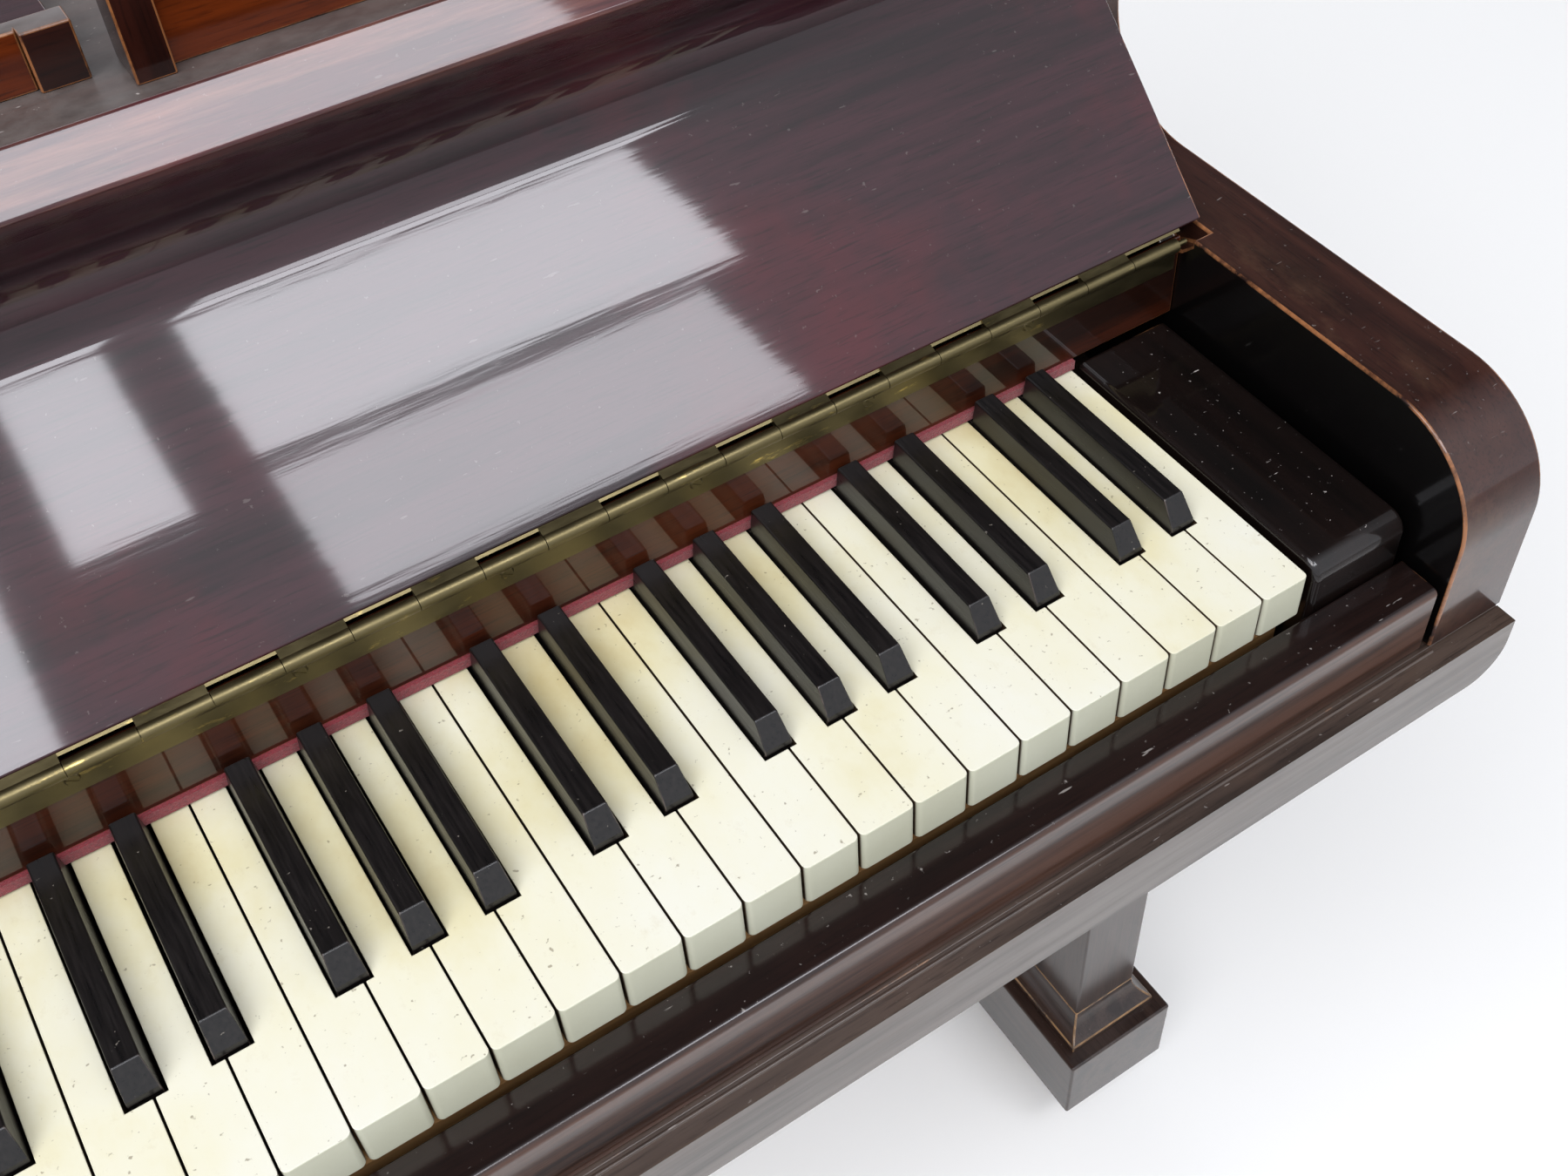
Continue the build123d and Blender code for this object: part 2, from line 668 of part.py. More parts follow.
def lid():
    board = slab(lid_outline(FLAP_LINE + BARREL_R + CLEAR, LENGTH), levels(LID_LOW, LID_HIGH))
    upper = board.edges().group_by(Axis.Z)[-1]
    return fillet(upper, 3)


def lid_flap():
    """Front flap of the lid, folded back flat on the main lid."""
    front = KEY_FRONT + CASE_FRONT - LID_OVERHANG
    closed = lid_outline(front, FLAP_LINE - BARREL_R - CLEAR)
    folded = Pos(0, 2 * FLAP_LINE) * mirror(closed, Plane.XZ)
    return slab(folded, levels(LID_HIGH + CLEAR, LID_HIGH + LID_THICK))


def flap_hinge():
    y, z = FLAP_LINE, KEY_TOP + LID_HIGH + CLEAR / 2
    return rod((-SIDE_OUT + 20, y, z), (SIDE_OUT - 20, y, z), BARREL_R - 0.1)


def lid_hinge(y, parts, leaf):
    """Butt hinge pieces on the spine: knuckles in the given thirds and one leaf."""
    z = KEY_TOP + RIM_TOP
    solid = block((-SIDE_OUT - LEAF, -SIDE_OUT), (y, y + 3 * LID_KNUCKLE - CLEAR), leaf)
    near = min(leaf, key=lambda edge: abs(edge - z))
    for part in parts:
        low = y + part * LID_KNUCKLE
        high = low + LID_KNUCKLE - CLEAR
        tab = block((-SIDE_OUT - LEAF, -SIDE_OUT), (low, high), sorted((near, z)))
        solid += rod((LID_AXIS_X, low, z), (LID_AXIS_X, high, z), LID_HINGE_R) + tab
    return solid


def lid_hinges_case():
    leaf = levels(RIM_TOP - 36, RIM_TOP - 5)
    return [lid_hinge(y, (0, 2), leaf) for y in LID_HINGE_YS]


def lid_hinges_lid():
    leaf = levels(RIM_TOP + 5, LID_HIGH - 4)
    return [lid_hinge(y, (1,), leaf) for y in LID_HINGE_YS]


def prop_place():
    """Frame at the prop's pivot: X along the folded stick, Y along the pin."""
    run_x, run_y = PROP_TIP[0] - PROP_FOOT[0], PROP_TIP[1] - PROP_FOOT[1]
    turn = Rot(0, 0, degrees(atan2(run_y, run_x)))
    return Pos(*PROP_FOOT, KEY_TOP + PROP_H) * turn, sqrt(run_x**2 + run_y**2)


def prop_pin(radius, half):
    return rod((0, -half, 0), (0, half, 0), radius)


def lid_prop():
    """Prop stick lying inside the case, turning on a pin through its treble end."""
    place, length = prop_place()
    outline = Pos(length / 2, 0) * SlotOverall(length + PROP_WIDTH, PROP_WIDTH)
    stick = slab(outline, (-PROP_THICK / 2, PROP_THICK / 2))
    return place * (stick - prop_pin(PROP_PIN_R + RUN, PROP_WIDTH))


def prop_bracket():
    """Cast post on the plate's border, with two cheeks that hold the prop's pin."""
    place, _ = prop_place()
    inner = PROP_WIDTH / 2 + CLEAR
    outer = inner + 4
    base_low, base_high = -20.0, -14.0
    bracket = block((-10, 10), (-outer, outer), (base_low, base_high))
    for side in (-outer, inner):
        bracket += block((-7, 7), (side, side + 4), (base_high, PROP_PIN_R + 4))
    bracket += prop_pin(PROP_PIN_R, outer)
    post = Pos(0, 0, (PLATE_H[1] - PROP_H + base_low) / 2) * Cylinder(9, base_low + PROP_H - PLATE_H[1])
    return place * (bracket + post)


# ---------------------------------------------------------------- legs and castors
def at_legs(shape):
    return [Pos(x, y, 0) * shape for x, y in LEGS.values()]


def cove_outline(low_half, top_half, high, square):
    """Half-open moulding section: a square foot, then a hollow curve up to the post."""
    right_foot = Polyline((-low_half, 0), (low_half, 0), (low_half, square))
    right = TangentArc((top_half, high), (low_half, square), tangent=(0, -1))
    top = Line((top_half, high), (-top_half, high))
    left = TangentArc((-top_half, high), (-low_half, square), tangent=(0, -1))
    left_foot = Line((-low_half, square), (-low_half, 0))
    return make_face([right_foot, right, top, left, left_foot])


def moulding():
    """Mitred hollow moulding between the foot block and the post, standing on z = 0."""
    square = 6.0
    across = cove_outline(MOULD_WIDTH / 2, POST_WIDTH / 2, MOULD_HIGH, square)
    along = cove_outline(MOULD_DEPTH / 2, POST_DEPTH / 2, MOULD_HIGH, square)
    front = extrude(Plane.XZ * across, amount=MOULD_DEPTH / 2, both=True)
    side = extrude(Plane.YZ * along, amount=MOULD_WIDTH / 2, both=True)
    return front & side


def foot_shape(low, high):
    half_width, half_depth = FOOT_WIDTH / 2, FOOT_DEPTH / 2
    return block((-half_width, half_width), (-half_depth, half_depth), (low, high))


def foot_blocks():
    foot = fillet(foot_shape(CASTOR_HIGH, FOOT_TOP).edges(), 2)
    socket = Pos(0, 0, CASTOR_HIGH + 14) * Cylinder(STEM_R + RUN, 32)
    return at_legs(foot - socket)


def leg_mouldings():
    lower = Pos(0, 0, FOOT_TOP) * moulding()
    upper = Pos(0, 0, LEG_TOP - CAP_HIGH) * mirror(moulding(), Plane.XY)
    return at_legs(lower) + at_legs(upper)


def leg_posts():
    post = block(
        (-POST_WIDTH / 2, POST_WIDTH / 2),
        (-POST_DEPTH / 2, POST_DEPTH / 2),
        (FOOT_TOP + MOULD_HIGH, LEG_TOP - CAP_HIGH - MOULD_HIGH),
    )
    return at_legs(fillet(post.edges().filter_by(Axis.Z), 1.5))


def leg_caps():
    cap = foot_shape(LEG_TOP - CAP_HIGH, LEG_TOP)
    return at_legs(fillet(cap.edges().filter_by(Axis.Z), 2))


def tail_leg_plate():
    """Block under the beams that the tail leg screws to."""
    x, y = LEGS["tail"]
    return block((x - 90, x + 90), (y - 90, y + 90), (LEG_TOP, KEY_TOP + CASE_FLOOR))


def castor_fork(x, y):
    """Stem, top plate and two cheeks that carry the axle."""
    plate_low = CASTOR_HIGH - CLEAR - 3
    plate = Pos(0, 0, plate_low + 1.5) * Cylinder(17, 3)
    stem = Pos(0, 0, CASTOR_HIGH + 6) * Cylinder(STEM_R, 18 + 3)
    inner = WHEEL_WIDTH / 2 + CLEAR
    fork = plate + stem
    tip = WHEEL_R - 5
    cheek = [(-9, plate_low), (12, plate_low), (CASTOR_TRAIL + 6, tip), (CASTOR_TRAIL - 6, tip)]
    outline = [(across, up, 0 if up > tip else 5) for across, up in cheek]
    for side in (-inner - 2.5, inner):
        fork += extrude(Plane.YZ.offset(side) * rounded(outline), amount=2.5)
    fork += rod((-inner - 3, CASTOR_TRAIL, WHEEL_R), (inner + 3, CASTOR_TRAIL, WHEEL_R), 2.5)
    return Pos(x, y, 0) * fork


def castor_wheel(x, y):
    half = WHEEL_WIDTH / 2
    wheel = extrude(Plane.YZ * Circle(WHEEL_R), amount=half, both=True)
    wheel = fillet(wheel.edges(), 1.5)
    wheel -= extrude(Plane.YZ * Circle(2.5 + RUN), amount=WHEEL_WIDTH, both=True)
    return Pos(x, y + CASTOR_TRAIL, WHEEL_R) * wheel


# ---------------------------------------------------------------- pedals
def pedal_box():
    """Hollow box at the foot of the lyre; the pedals come out of its front."""
    box = block((-BOX_HALF, BOX_HALF), BOX_Y, BOX_Z)
    depth = (BOX_Y[0] + WALL, BOX_Y[1] - WALL)
    box -= block((WALL - BOX_HALF, BOX_HALF - WALL), depth, (BOX_Z[0] - 1, BOX_Z[1] - WALL))
    axle_y, axle_z = PEDAL_PIVOT
    for x in (-PEDAL_X, PEDAL_X):
        front = (BOX_Y[0] - 1, BOX_Y[0] + WALL + 1)
        box -= block((x - 15, x + 15), front, (BOX_Z[0] - 1, BOX_Z[0] + 58))
        box -= Pos(x, axle_y + ROD_BEHIND, BOX_Z[1]) * Cylinder(7, 3 * WALL)
    return box - rod((-BOX_HALF - 1, axle_y, axle_z), (BOX_HALF + 1, axle_y, axle_z), AXLE_R)


def pedal_axle():
    axle_y, axle_z = PEDAL_PIVOT
    return rod((-BOX_HALF, axle_y, axle_z), (BOX_HALF, axle_y, axle_z), AXLE_R)


def pedal(x):
    """Brass pedal: a bar on the axle, widening to a rounded shoe in front."""
    axle_y, axle_z = PEDAL_PIVOT
    bar = Pos(0, axle_y - 50) * Rectangle(20, 170)
    shoe = Pos(0, axle_y - 150) * (Rot(0, 0, 90) * SlotOverall(92, 46))
    sole = slab(bar + shoe, (axle_z - 6, axle_z + 6))
    sole = fillet(sole.edges().group_by(Axis.Z)[-1], 2.5)
    sole -= rod((-40, axle_y, axle_z), (40, axle_y, axle_z), AXLE_R + RUN)
    return Pos(x, 0, 0) * sole


def pedal_rod(x):
    """Lifting rod from the pedal's tail up into the keybed."""
    y = PEDAL_PIVOT[0] + ROD_BEHIND
    return rod((x, y, PEDAL_PIVOT[1] + 6 + 0.5), (x, y, LEG_TOP + 18), 4)


def lyre_posts():
    top = block((-BOX_HALF, BOX_HALF), BOX_Y, (LEG_TOP - 24, LEG_TOP))
    for x in (-PEDAL_X, PEDAL_X):
        top -= Pos(x, PEDAL_PIVOT[0] + ROD_BEHIND, LEG_TOP) * Cylinder(7, 60)
    post = block((92, 120), (-418, -378), (BOX_Z[1], LEG_TOP - 24))
    post = fillet(post.edges().filter_by(Axis.Z), 5)
    return [top] + both_sides(post)


def lyre_braces():
    """Slanting rods that hold the lyre against the player's foot."""
    low, high = BOX_Z[0] + 40, LEG_TOP
    space = block((-BOX_HALF, BOX_HALF), (BOX_Y[1], 0), (low - 60, high))
    brace = rod((80, BOX_Y[1] - 10, low), (80, BELLY_FRONT - 20, high + 10), 7)
    return both_sides(brace & space)


# ---------------------------------------------------------------- all nodes
def case_nodes():
    return {
        "spine_side": mirror(case_side(TAIL_Y - CORNER_R), Plane.YZ),
        "treble_side": case_side(STRAIGHT_END),
        "bentside": bentside(),
        "tail_end": tail_end(),
        "case_frame": [inner_rim(), belly_rail()] + case_beams(),
        "case_rails": [fall_rest_rail()] + tray_rails(),
        "keybed": keybed(),
        "keybed_nosing": keybed_nosing(),
        "key_slip": key_slip(),
        "key_blocks": key_blocks(),
        "nameboard": nameboard(),
        "felt_strips": [nameboard_felt(), fall_rest_felt()],
        "leg_posts": leg_posts(),
        "leg_mouldings": leg_mouldings() + leg_caps() + [tail_leg_plate()],
        "foot_blocks": foot_blocks(),
    }


def fall_nodes():
    return {
        "fallboard": fallboard(),
        "fall_hinge_flap": fall_hinge_flap(),
        "fall_hinge_leaf": [fall_hinge_leaf(), fall_hinge_pin()] + hinge_screws(),
    }


def action_nodes():
    return {
        "key_frame": key_frame(),
        "action_rack": action_rack() + wippens(),
        "hammers": hammers(),
        "dampers": dampers(),
        "pin_block": pin_block(),
        "iron_plate": [iron_plate(), prop_bracket()],
        "soundboard": [soundboard(), bridge()],
        "strings": strings(),
        "tuning_pins": tuning_pins(),
    }


def top_nodes():
    return {
        "music_shelf": [music_tray(), shelf_lip(), shelf_lip_panel()],
        "desk_cheeks": desk_cheeks() + cheek_panels(),
        "music_desk": music_desk(),
        "lid": lid(),
        "lid_flap": lid_flap(),
        "lid_hinges_case": lid_hinges_case(),
        "lid_hinges_lid": lid_hinges_lid() + [flap_hinge()],
        "lid_prop": lid_prop(),
    }


def pedal_nodes():
    made = {
        "pedal_box": [pedal_box(), pedal_axle()],
        "lyre": lyre_posts() + lyre_braces(),
    }
    for name, x in (("soft", -PEDAL_X), ("sustain", PEDAL_X)):
        made[f"{name}_pedal"] = pedal(x)
        made[f"{name}_rod"] = pedal_rod(x)
    return made


def key_nodes():
    return {"keys_" + note.replace("#", "_sharp"): keys for note, keys in keys_by_note().items()}


def castor_nodes():
    made = {}
    for name, (x, y) in LEGS.items():
        made[f"{name}_castor_fork"] = castor_fork(x, y)
        made[f"{name}_castor_wheel"] = castor_wheel(x, y)
    return made


def export_nodes():
    os.makedirs("parts", exist_ok=True)
    groups = (case_nodes, fall_nodes, key_nodes, action_nodes, top_nodes, pedal_nodes, castor_nodes)
    for group in groups:
        for name, shape in group().items():
            solid = Compound(children=shape) if isinstance(shape, list) else shape
            export_step(solid, f"parts/{name}.step")


export_nodes()
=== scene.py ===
import bpy
import bmesh
import json
from math import cos, pi, radians, sin
from mathutils import Matrix, Vector


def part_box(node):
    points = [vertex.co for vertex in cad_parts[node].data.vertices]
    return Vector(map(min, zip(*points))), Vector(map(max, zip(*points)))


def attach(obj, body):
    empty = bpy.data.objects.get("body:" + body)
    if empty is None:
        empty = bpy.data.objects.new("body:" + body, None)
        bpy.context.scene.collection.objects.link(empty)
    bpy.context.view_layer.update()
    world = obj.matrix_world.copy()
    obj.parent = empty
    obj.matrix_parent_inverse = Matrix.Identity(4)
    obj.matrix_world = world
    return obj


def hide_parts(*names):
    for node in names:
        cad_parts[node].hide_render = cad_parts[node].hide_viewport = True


bl_info = {
    "name": "Baby Grand Piano Finisher",
    "version": (1, 0, 0),
    "blender": (4, 5, 0),
    "location": "View3D > Sidebar > Piano",
    "description": "Finishes a mahogany baby grand: polish, keys, hardware, action and studio",
    "category": "Add Mesh",
}

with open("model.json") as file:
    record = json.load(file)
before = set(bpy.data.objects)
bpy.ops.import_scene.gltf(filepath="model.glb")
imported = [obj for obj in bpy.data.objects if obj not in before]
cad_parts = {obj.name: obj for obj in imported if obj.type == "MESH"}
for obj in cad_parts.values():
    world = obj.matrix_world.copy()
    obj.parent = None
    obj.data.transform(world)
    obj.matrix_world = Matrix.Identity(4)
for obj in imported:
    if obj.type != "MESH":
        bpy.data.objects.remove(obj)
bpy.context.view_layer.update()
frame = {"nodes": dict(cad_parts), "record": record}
NODES = frame["nodes"]
BODY_OF = {node: body for body, members in frame["record"]["behaviour"]["bodies"].items() for node in members}
MM = 0.001


# ---------------------------------------------------------------- colours and shader nodes
def srgb(code):
    """Linear colour of an sRGB hex value."""
    parts = [int(code[i:i + 2], 16) / 255 for i in (1, 3, 5)]
    return tuple(p / 12.92 if p <= 0.04045 else ((p + 0.055) / 1.055) ** 2.4 for p in parts)


def rgba(colour):
    """Opaque colour of a hex value or of a colour that the user has set."""
    return (*(srgb(colour) if isinstance(colour, str) else colour), 1.0)


def join(tree, node, links):
    """Give a node's inputs their values, or link them to the outputs of other nodes."""
    for name, value in links.items():
        if isinstance(value, bpy.types.NodeSocket):
            tree.links.new(value, node.inputs[name])
        else:
            node.inputs[name].default_value = value


def add(tree, kind, links, stops=(), output=0, **settings):
    """Add a node with its inputs, its colour stops and its own settings, and give one of its outputs."""
    node = tree.nodes.new(kind)
    for name, value in settings.items():
        setattr(node, name, value)
    for number, (position, colour) in enumerate(stops):
        elements = node.color_ramp.elements
        element = elements[number] if number < 2 else elements.new(position)
        element.position = position
        element.color = rgba(colour)
    join(tree, node, links)
    return node.outputs[output]


def surface(name):
    """A new material with its tree, its shader and its object coordinates."""
    material = bpy.data.materials.new(name)
    material.use_nodes = True
    tree = material.node_tree
    place = add(tree, "ShaderNodeTexCoord", {}, output="Object")
    return material, tree, tree.nodes["Principled BSDF"], place


def mottle(tree, place, per_metre, detail=3.0, roughness=0.5, offset=(0, 0, 0)):
    """Mottled pattern with its own number of patches per metre along X, Y and Z."""
    scaled = add(tree, "ShaderNodeMapping", {"Vector": place, "Location": offset, "Scale": per_metre})
    links = {"Vector": scaled, "Scale": 1.0, "Detail": detail, "Roughness": roughness}
    return add(tree, "ShaderNodeTexNoise", links, output="Fac")


GRAIN = {"X": (0.06, 1.0, 1.0), "Y": (1.0, 0.06, 1.0), "Z": (1.0, 1.0, 0.06)}


def fibre(along, across):
    """Frequencies of a pattern drawn out along the grain, across times per metre across it."""
    return tuple(share * across for share in GRAIN[along])


def facing(tree, axis):
    """The part of the surface's direction that points along one axis."""
    normal = add(tree, "ShaderNodeNewGeometry", {}, output="Normal")
    return add(tree, "ShaderNodeSeparateXYZ", {0: normal}, output=axis)


def dusted(tree, place, colour, amount, film):
    """Grey specks of dust and lint, 1 to 3 mm apart, over a thin film, on the faces that look up."""
    specks = mottle(tree, place, (380, 380, 380), 3, 0.6, (8, 8, 1))
    specks = add(tree, "ShaderNodeMapRange", {"Value": specks, "From Min": 0.69, "From Max": 0.74})
    lint = mottle(tree, place, (90, 520, 90), 2, 0.5, (1, 6, 3))
    lint = add(tree, "ShaderNodeMapRange", {"Value": lint, "From Min": 0.74, "From Max": 0.77})
    loose = add(tree, "ShaderNodeMath", {0: specks, 1: lint}, operation="MAXIMUM")
    loose = add(tree, "ShaderNodeMath", {0: loose, 1: amount}, operation="MULTIPLY")
    veil = mottle(tree, place, (40, 60, 40), 6, 0.75, (6, 1, 4))
    reach = {"Value": veil, "From Min": 0.3, "From Max": 0.7, "To Min": 0.4 * film, "To Max": film}
    veil = add(tree, "ShaderNodeMapRange", reach)
    level = add(tree, "ShaderNodeMapRange", {"Value": facing(tree, "Z"), "From Min": 0.55, "From Max": 0.9})
    dust = add(tree, "ShaderNodeMath", {0: loose, 1: veil}, operation="MAXIMUM")
    dust = add(tree, "ShaderNodeMath", {0: dust, 1: level}, operation="MULTIPLY")
    over = {"Factor": dust, 6: colour, 7: rgba("#a39c96")}
    return add(tree, "ShaderNodeMix", over, output=2, data_type="RGBA"), dust


def rubbed_edges(tree, place, wear):
    """Where the edges have lost their polish: the wear attribute broken up by a mottle."""
    edges = add(tree, "ShaderNodeAttribute", {}, output="Fac", attribute_name="wear")
    spots = mottle(tree, place, (30, 30, 30), 6, 0.75, (2, 9, 5))
    start = 0.66 - 0.34 * wear
    spots = add(tree, "ShaderNodeMapRange", {"Value": spots, "From Min": start, "From Max": start + 0.16})
    return add(tree, "ShaderNodeMath", {0: spots, 1: edges}, operation="MULTIPLY")


def off_centre(tree, place):
    """Distance from the middle of the piano, to either side."""
    side = add(tree, "ShaderNodeSeparateXYZ", {0: place}, output="X")
    return add(tree, "ShaderNodeMath", {0: side}, operation="ABSOLUTE")


def painted_inner_shade(tree, place, half):
    """1 on upright faces that look at the keys, closer to the middle than half: the mask of the near-black
    painted shade on the arms' inner faces.
    """
    turned_in = add(tree, "ShaderNodeMath", {0: facing(tree, "X")}, operation="ABSOLUTE")
    upright = add(tree, "ShaderNodeMapRange", {"Value": turned_in, "From Min": 0.9, "From Max": 0.95})
    reach = {"Value": off_centre(tree, place), "From Min": half, "From Max": half - 1 * MM}
    near = add(tree, "ShaderNodeMapRange", reach)
    return add(tree, "ShaderNodeMath", {0: upright, 1: near}, operation="MULTIPLY")


def handled(tree, place, half):
    """Polish thinned by hands: broken patches within 30 mm of the inner edge."""
    reach = {"Value": off_centre(tree, place), "From Min": half + 30 * MM, "From Max": half}
    near = add(tree, "ShaderNodeMapRange", reach)
    patches = mottle(tree, place, (18, 9, 18), 6, 0.7, (3, 3, 8))
    patches = add(tree, "ShaderNodeMapRange", {"Value": patches, "From Min": 0.46, "From Max": 0.7})
    flat = {0: near, 1: painted_inner_shade(tree, place, half)}
    near = add(tree, "ShaderNodeMath", flat, operation="SUBTRACT")
    return add(tree, "ShaderNodeMath", {0: near, 1: patches}, operation="MULTIPLY")


def lip_streaks(tree, place, along, height):
    """Pale scratches along the grain, above a height."""
    high = add(tree, "ShaderNodeSeparateXYZ", {0: place}, output="Z")
    high = add(tree, "ShaderNodeMapRange", {"Value": high, "From Min": height, "From Max": height + 4 * MM})
    streaks = mottle(tree, place, fibre(along, 120), 5, 0.7, (7, 2, 2))
    reach = {"Value": streaks, "From Min": 0.44, "From Max": 0.7, "To Min": 0.05, "To Max": 0.6}
    streaks = add(tree, "ShaderNodeMapRange", reach)
    return add(tree, "ShaderNodeMath", {0: high, 1: streaks}, operation="MULTIPLY")


def front_wear_and_reflection(tree, place, along):
    """Lighter tone on faces that look at the player: partly polish gone thin, partly a painted reflection of
    the pale floor.
    """
    reach = {"Value": facing(tree, "Y"), "From Min": -0.35, "From Max": -0.9, "To Min": 0, "To Max": 0.85}
    toward = add(tree, "ShaderNodeMapRange", reach)
    thin = mottle(tree, place, fibre(along, 90), 5, 0.7, (2, 2, 2))
    thin = add(tree, "ShaderNodeMapRange", {"Value": thin, "From Min": 0.35, "From Max": 0.6})
    return add(tree, "ShaderNodeMath", {0: toward, 1: thin}, operation="MULTIPLY")


def mahogany(
    name, along, tones, wear=0.5, gloss=0.05, ripple=0.03, dust=0.3, film=0.0,
    inside=None, front=None, lip=None,
):
    """French-polished mahogany: a thin glossy film over dark stained wood, rubbed bare at its edges."""
    material, tree, shader, place = surface(name)
    dark, middle, red, bare = tones
    bands = mottle(tree, place, fibre(along, 38), 5, 0.62)
    pores = mottle(tree, place, fibre(along, 900), 3, 0.6, (3, 1, 7))
    patches = mottle(tree, place, (6, 6, 6), 5, 0.62, (11, 4, 2))
    colour = add(tree, "ShaderNodeValToRGB", {"Fac": bands}, [(0.36, dark), (0.52, middle), (0.66, dark)])
    reach = {"Value": patches, "From Min": 0.5, "From Max": 0.72, "To Min": 0, "To Max": 0.8}
    layers = [(add(tree, "ShaderNodeMapRange", reach), red)]
    reach = {"Value": pores, "From Min": 0.52, "From Max": 0.7, "To Min": 0, "To Max": 0.55}
    layers.append((add(tree, "ShaderNodeMapRange", reach), "#0a0504"))
    if lip is not None:
        layers.append((lip_streaks(tree, place, along, lip), "#8a5a4a"))
    if inside is not None:
        # painted shade: the arms' upright inner faces beside the keys are painted near-black
        layers.append((painted_inner_shade(tree, place, inside), "#050404"))
        layers.append((handled(tree, place, inside), "#5f4432"))
    layers.append((rubbed_edges(tree, place, wear), bare))
    # front faces: partly polish rubbed thin, partly a painted reflection of the floor
    if front is not None:
        layers.append((front_wear_and_reflection(tree, place, along), front))
    for amount, tone in layers:
        over = {"Factor": amount, 6: colour, 7: rgba(tone)}
        colour = add(tree, "ShaderNodeMix", over, output=2, data_type="RGBA")
    colour, specks = dusted(tree, place, colour, dust, film)
    reach = {"Value": patches, "From Min": 0.3, "From Max": 0.7, "To Min": 0.34, "To Max": 0.46}
    rough = {0: add(tree, "ShaderNodeMapRange", reach), 1: specks}
    waves = mottle(tree, place, fibre(along, 60), 2, 0.5, (5, 5, 5))
    relief = {"Height": waves, "Distance": 1.5 * ripple * MM, "Strength": 1.0}
    swell = add(tree, "ShaderNodeBump", relief)
    sunk = mottle(tree, place, fibre(along, 330), 2, 0.5, (5, 2, 5))
    relief = {"Height": sunk, "Distance": 0.34 * ripple * MM, "Strength": 1.0, "Normal": swell}
    swell = add(tree, "ShaderNodeBump", relief)
    relief = {"Height": pores, "Distance": 0.03 * MM, "Strength": 1.0, "Normal": swell}
    join(tree, shader, {
        "Base Color": colour,
        "Roughness": add(tree, "ShaderNodeMath", rough, operation="ADD"),
        "Specular IOR Level": 0.12,
        "Coat Weight": 0.9,
        "Coat Roughness": gloss,
        "Coat IOR": 1.5,
        "Normal": add(tree, "ShaderNodeBump", relief),
        "Coat Normal": swell,
    })
    return material


# ---------------------------------------------------------------- mesh helpers
def finished(name, mesh, material, body, replaced=()):
    """Link a finished mesh, with the finish it is given, as a piece that rides on a body, in place of CAD
    nodes.
    """
    piece = bpy.data.objects.new(name, mesh)
    bpy.context.scene.collection.objects.link(piece)
    finishes = material if isinstance(material, list) else [material]
    for number, one in enumerate(finishes):
        if number < len(mesh.materials):
            mesh.materials[number] = one
        else:
            mesh.materials.append(one)
    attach(piece, body)
    if replaced:
        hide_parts(*replaced)
    return piece


def welded(node):
    """The node's loose triangles joined and its flat faces made whole again."""
    mesh = bmesh.new()
    mesh.from_mesh(NODES[node].data)
    bmesh.ops.remove_doubles(mesh, verts=mesh.verts, dist=0.004 * MM)
    bmesh.ops.dissolve_limit(mesh, angle_limit=radians(0.6), verts=mesh.verts, edges=mesh.edges)
    return mesh


def even_normals(mesh):
    """Weight the normals by face area, so that flats stay flat and rounds stay smooth."""
    carrier = bpy.data.objects.new("carrier", mesh)
    bpy.context.scene.collection.objects.link(carrier)
    modifier = carrier.modifiers.new("even", "WEIGHTED_NORMAL")
    modifier.keep_sharp = True
    modifier.weight = 80
    ready = bpy.data.meshes.new_from_object(carrier.evaluated_get(bpy.context.evaluated_depsgraph_get()))
    bpy.data.objects.remove(carrier)
    return ready


def softened(node, material, width_mm, segments=2, panel=None):
    """Replace a CAD node by a copy whose sharp edges are rounded over and marked for wear."""
    mesh = welded(node)
    for face in mesh.faces:
        face.material_index = int(panel is not None and panel(face.calc_center_median(), face.normal))
    wear = mesh.faces.layers.float.new("wear")
    sharp = [edge for edge in mesh.edges if edge.is_manifold and edge.calc_face_angle(0) > radians(25)]
    made = bmesh.ops.bevel(
        mesh, geom=sharp, offset=width_mm * MM, segments=segments, profile=0.5,
        affect="EDGES", clamp_overlap=True,
    )
    for face in made["faces"]:
        face[wear] = 1.0
    for face in mesh.faces:
        face.smooth = True
    ready = bpy.data.meshes.new(node + "_finish")
    mesh.to_mesh(ready)
    mesh.free()
    for one in material if isinstance(material, list) else [material]:
        ready.materials.append(one)
    ready.set_sharp_from_angle(angle=radians(50))
    return finished(node + "_finish", even_normals(ready), material, BODY_OF[node], (node,))


def gathered(waiting):
    """Take one connected group of vertices out of the waiting set."""
    group, edge_of = set(), [waiting.pop()]
    while edge_of:
        vert = edge_of.pop()
        group.add(vert)
        edge_of += [near for edge in vert.link_edges if (near := edge.other_vert(vert)) in waiting]
        waiting -= set(edge_of)
    return group


def islands(node):
    """Low and high corners of each separate shape of a CAD node, from bass to treble."""
    mesh = welded(node)
    waiting = set(mesh.verts)
    found = []
    while waiting:
        group = gathered(waiting)
        spans = [(min(v.co[i] for v in group), max(v.co[i] for v in group)) for i in range(3)]
        found.append((Vector([low for low, _ in spans]), Vector([high for _, high in spans])))
    mesh.free()
    return sorted(found, key=lambda pair: tuple(pair[0]))


def prism(mesh, outline, low, high, place=None):
    """Add an upright solid of an (x, y) outline; place turns and moves it."""
    move = place or Matrix()
    floor = [mesh.verts.new(move @ Vector((x, y, low))) for x, y in outline]
    roof = [mesh.verts.new(move @ Vector((x, y, high))) for x, y in outline]
    mesh.faces.new(floor[::-1])
    mesh.faces.new(roof)
    for index, vert in enumerate(floor):
        after = (index + 1) % len(floor)
        mesh.faces.new((vert, floor[after], roof[after], roof[index]))


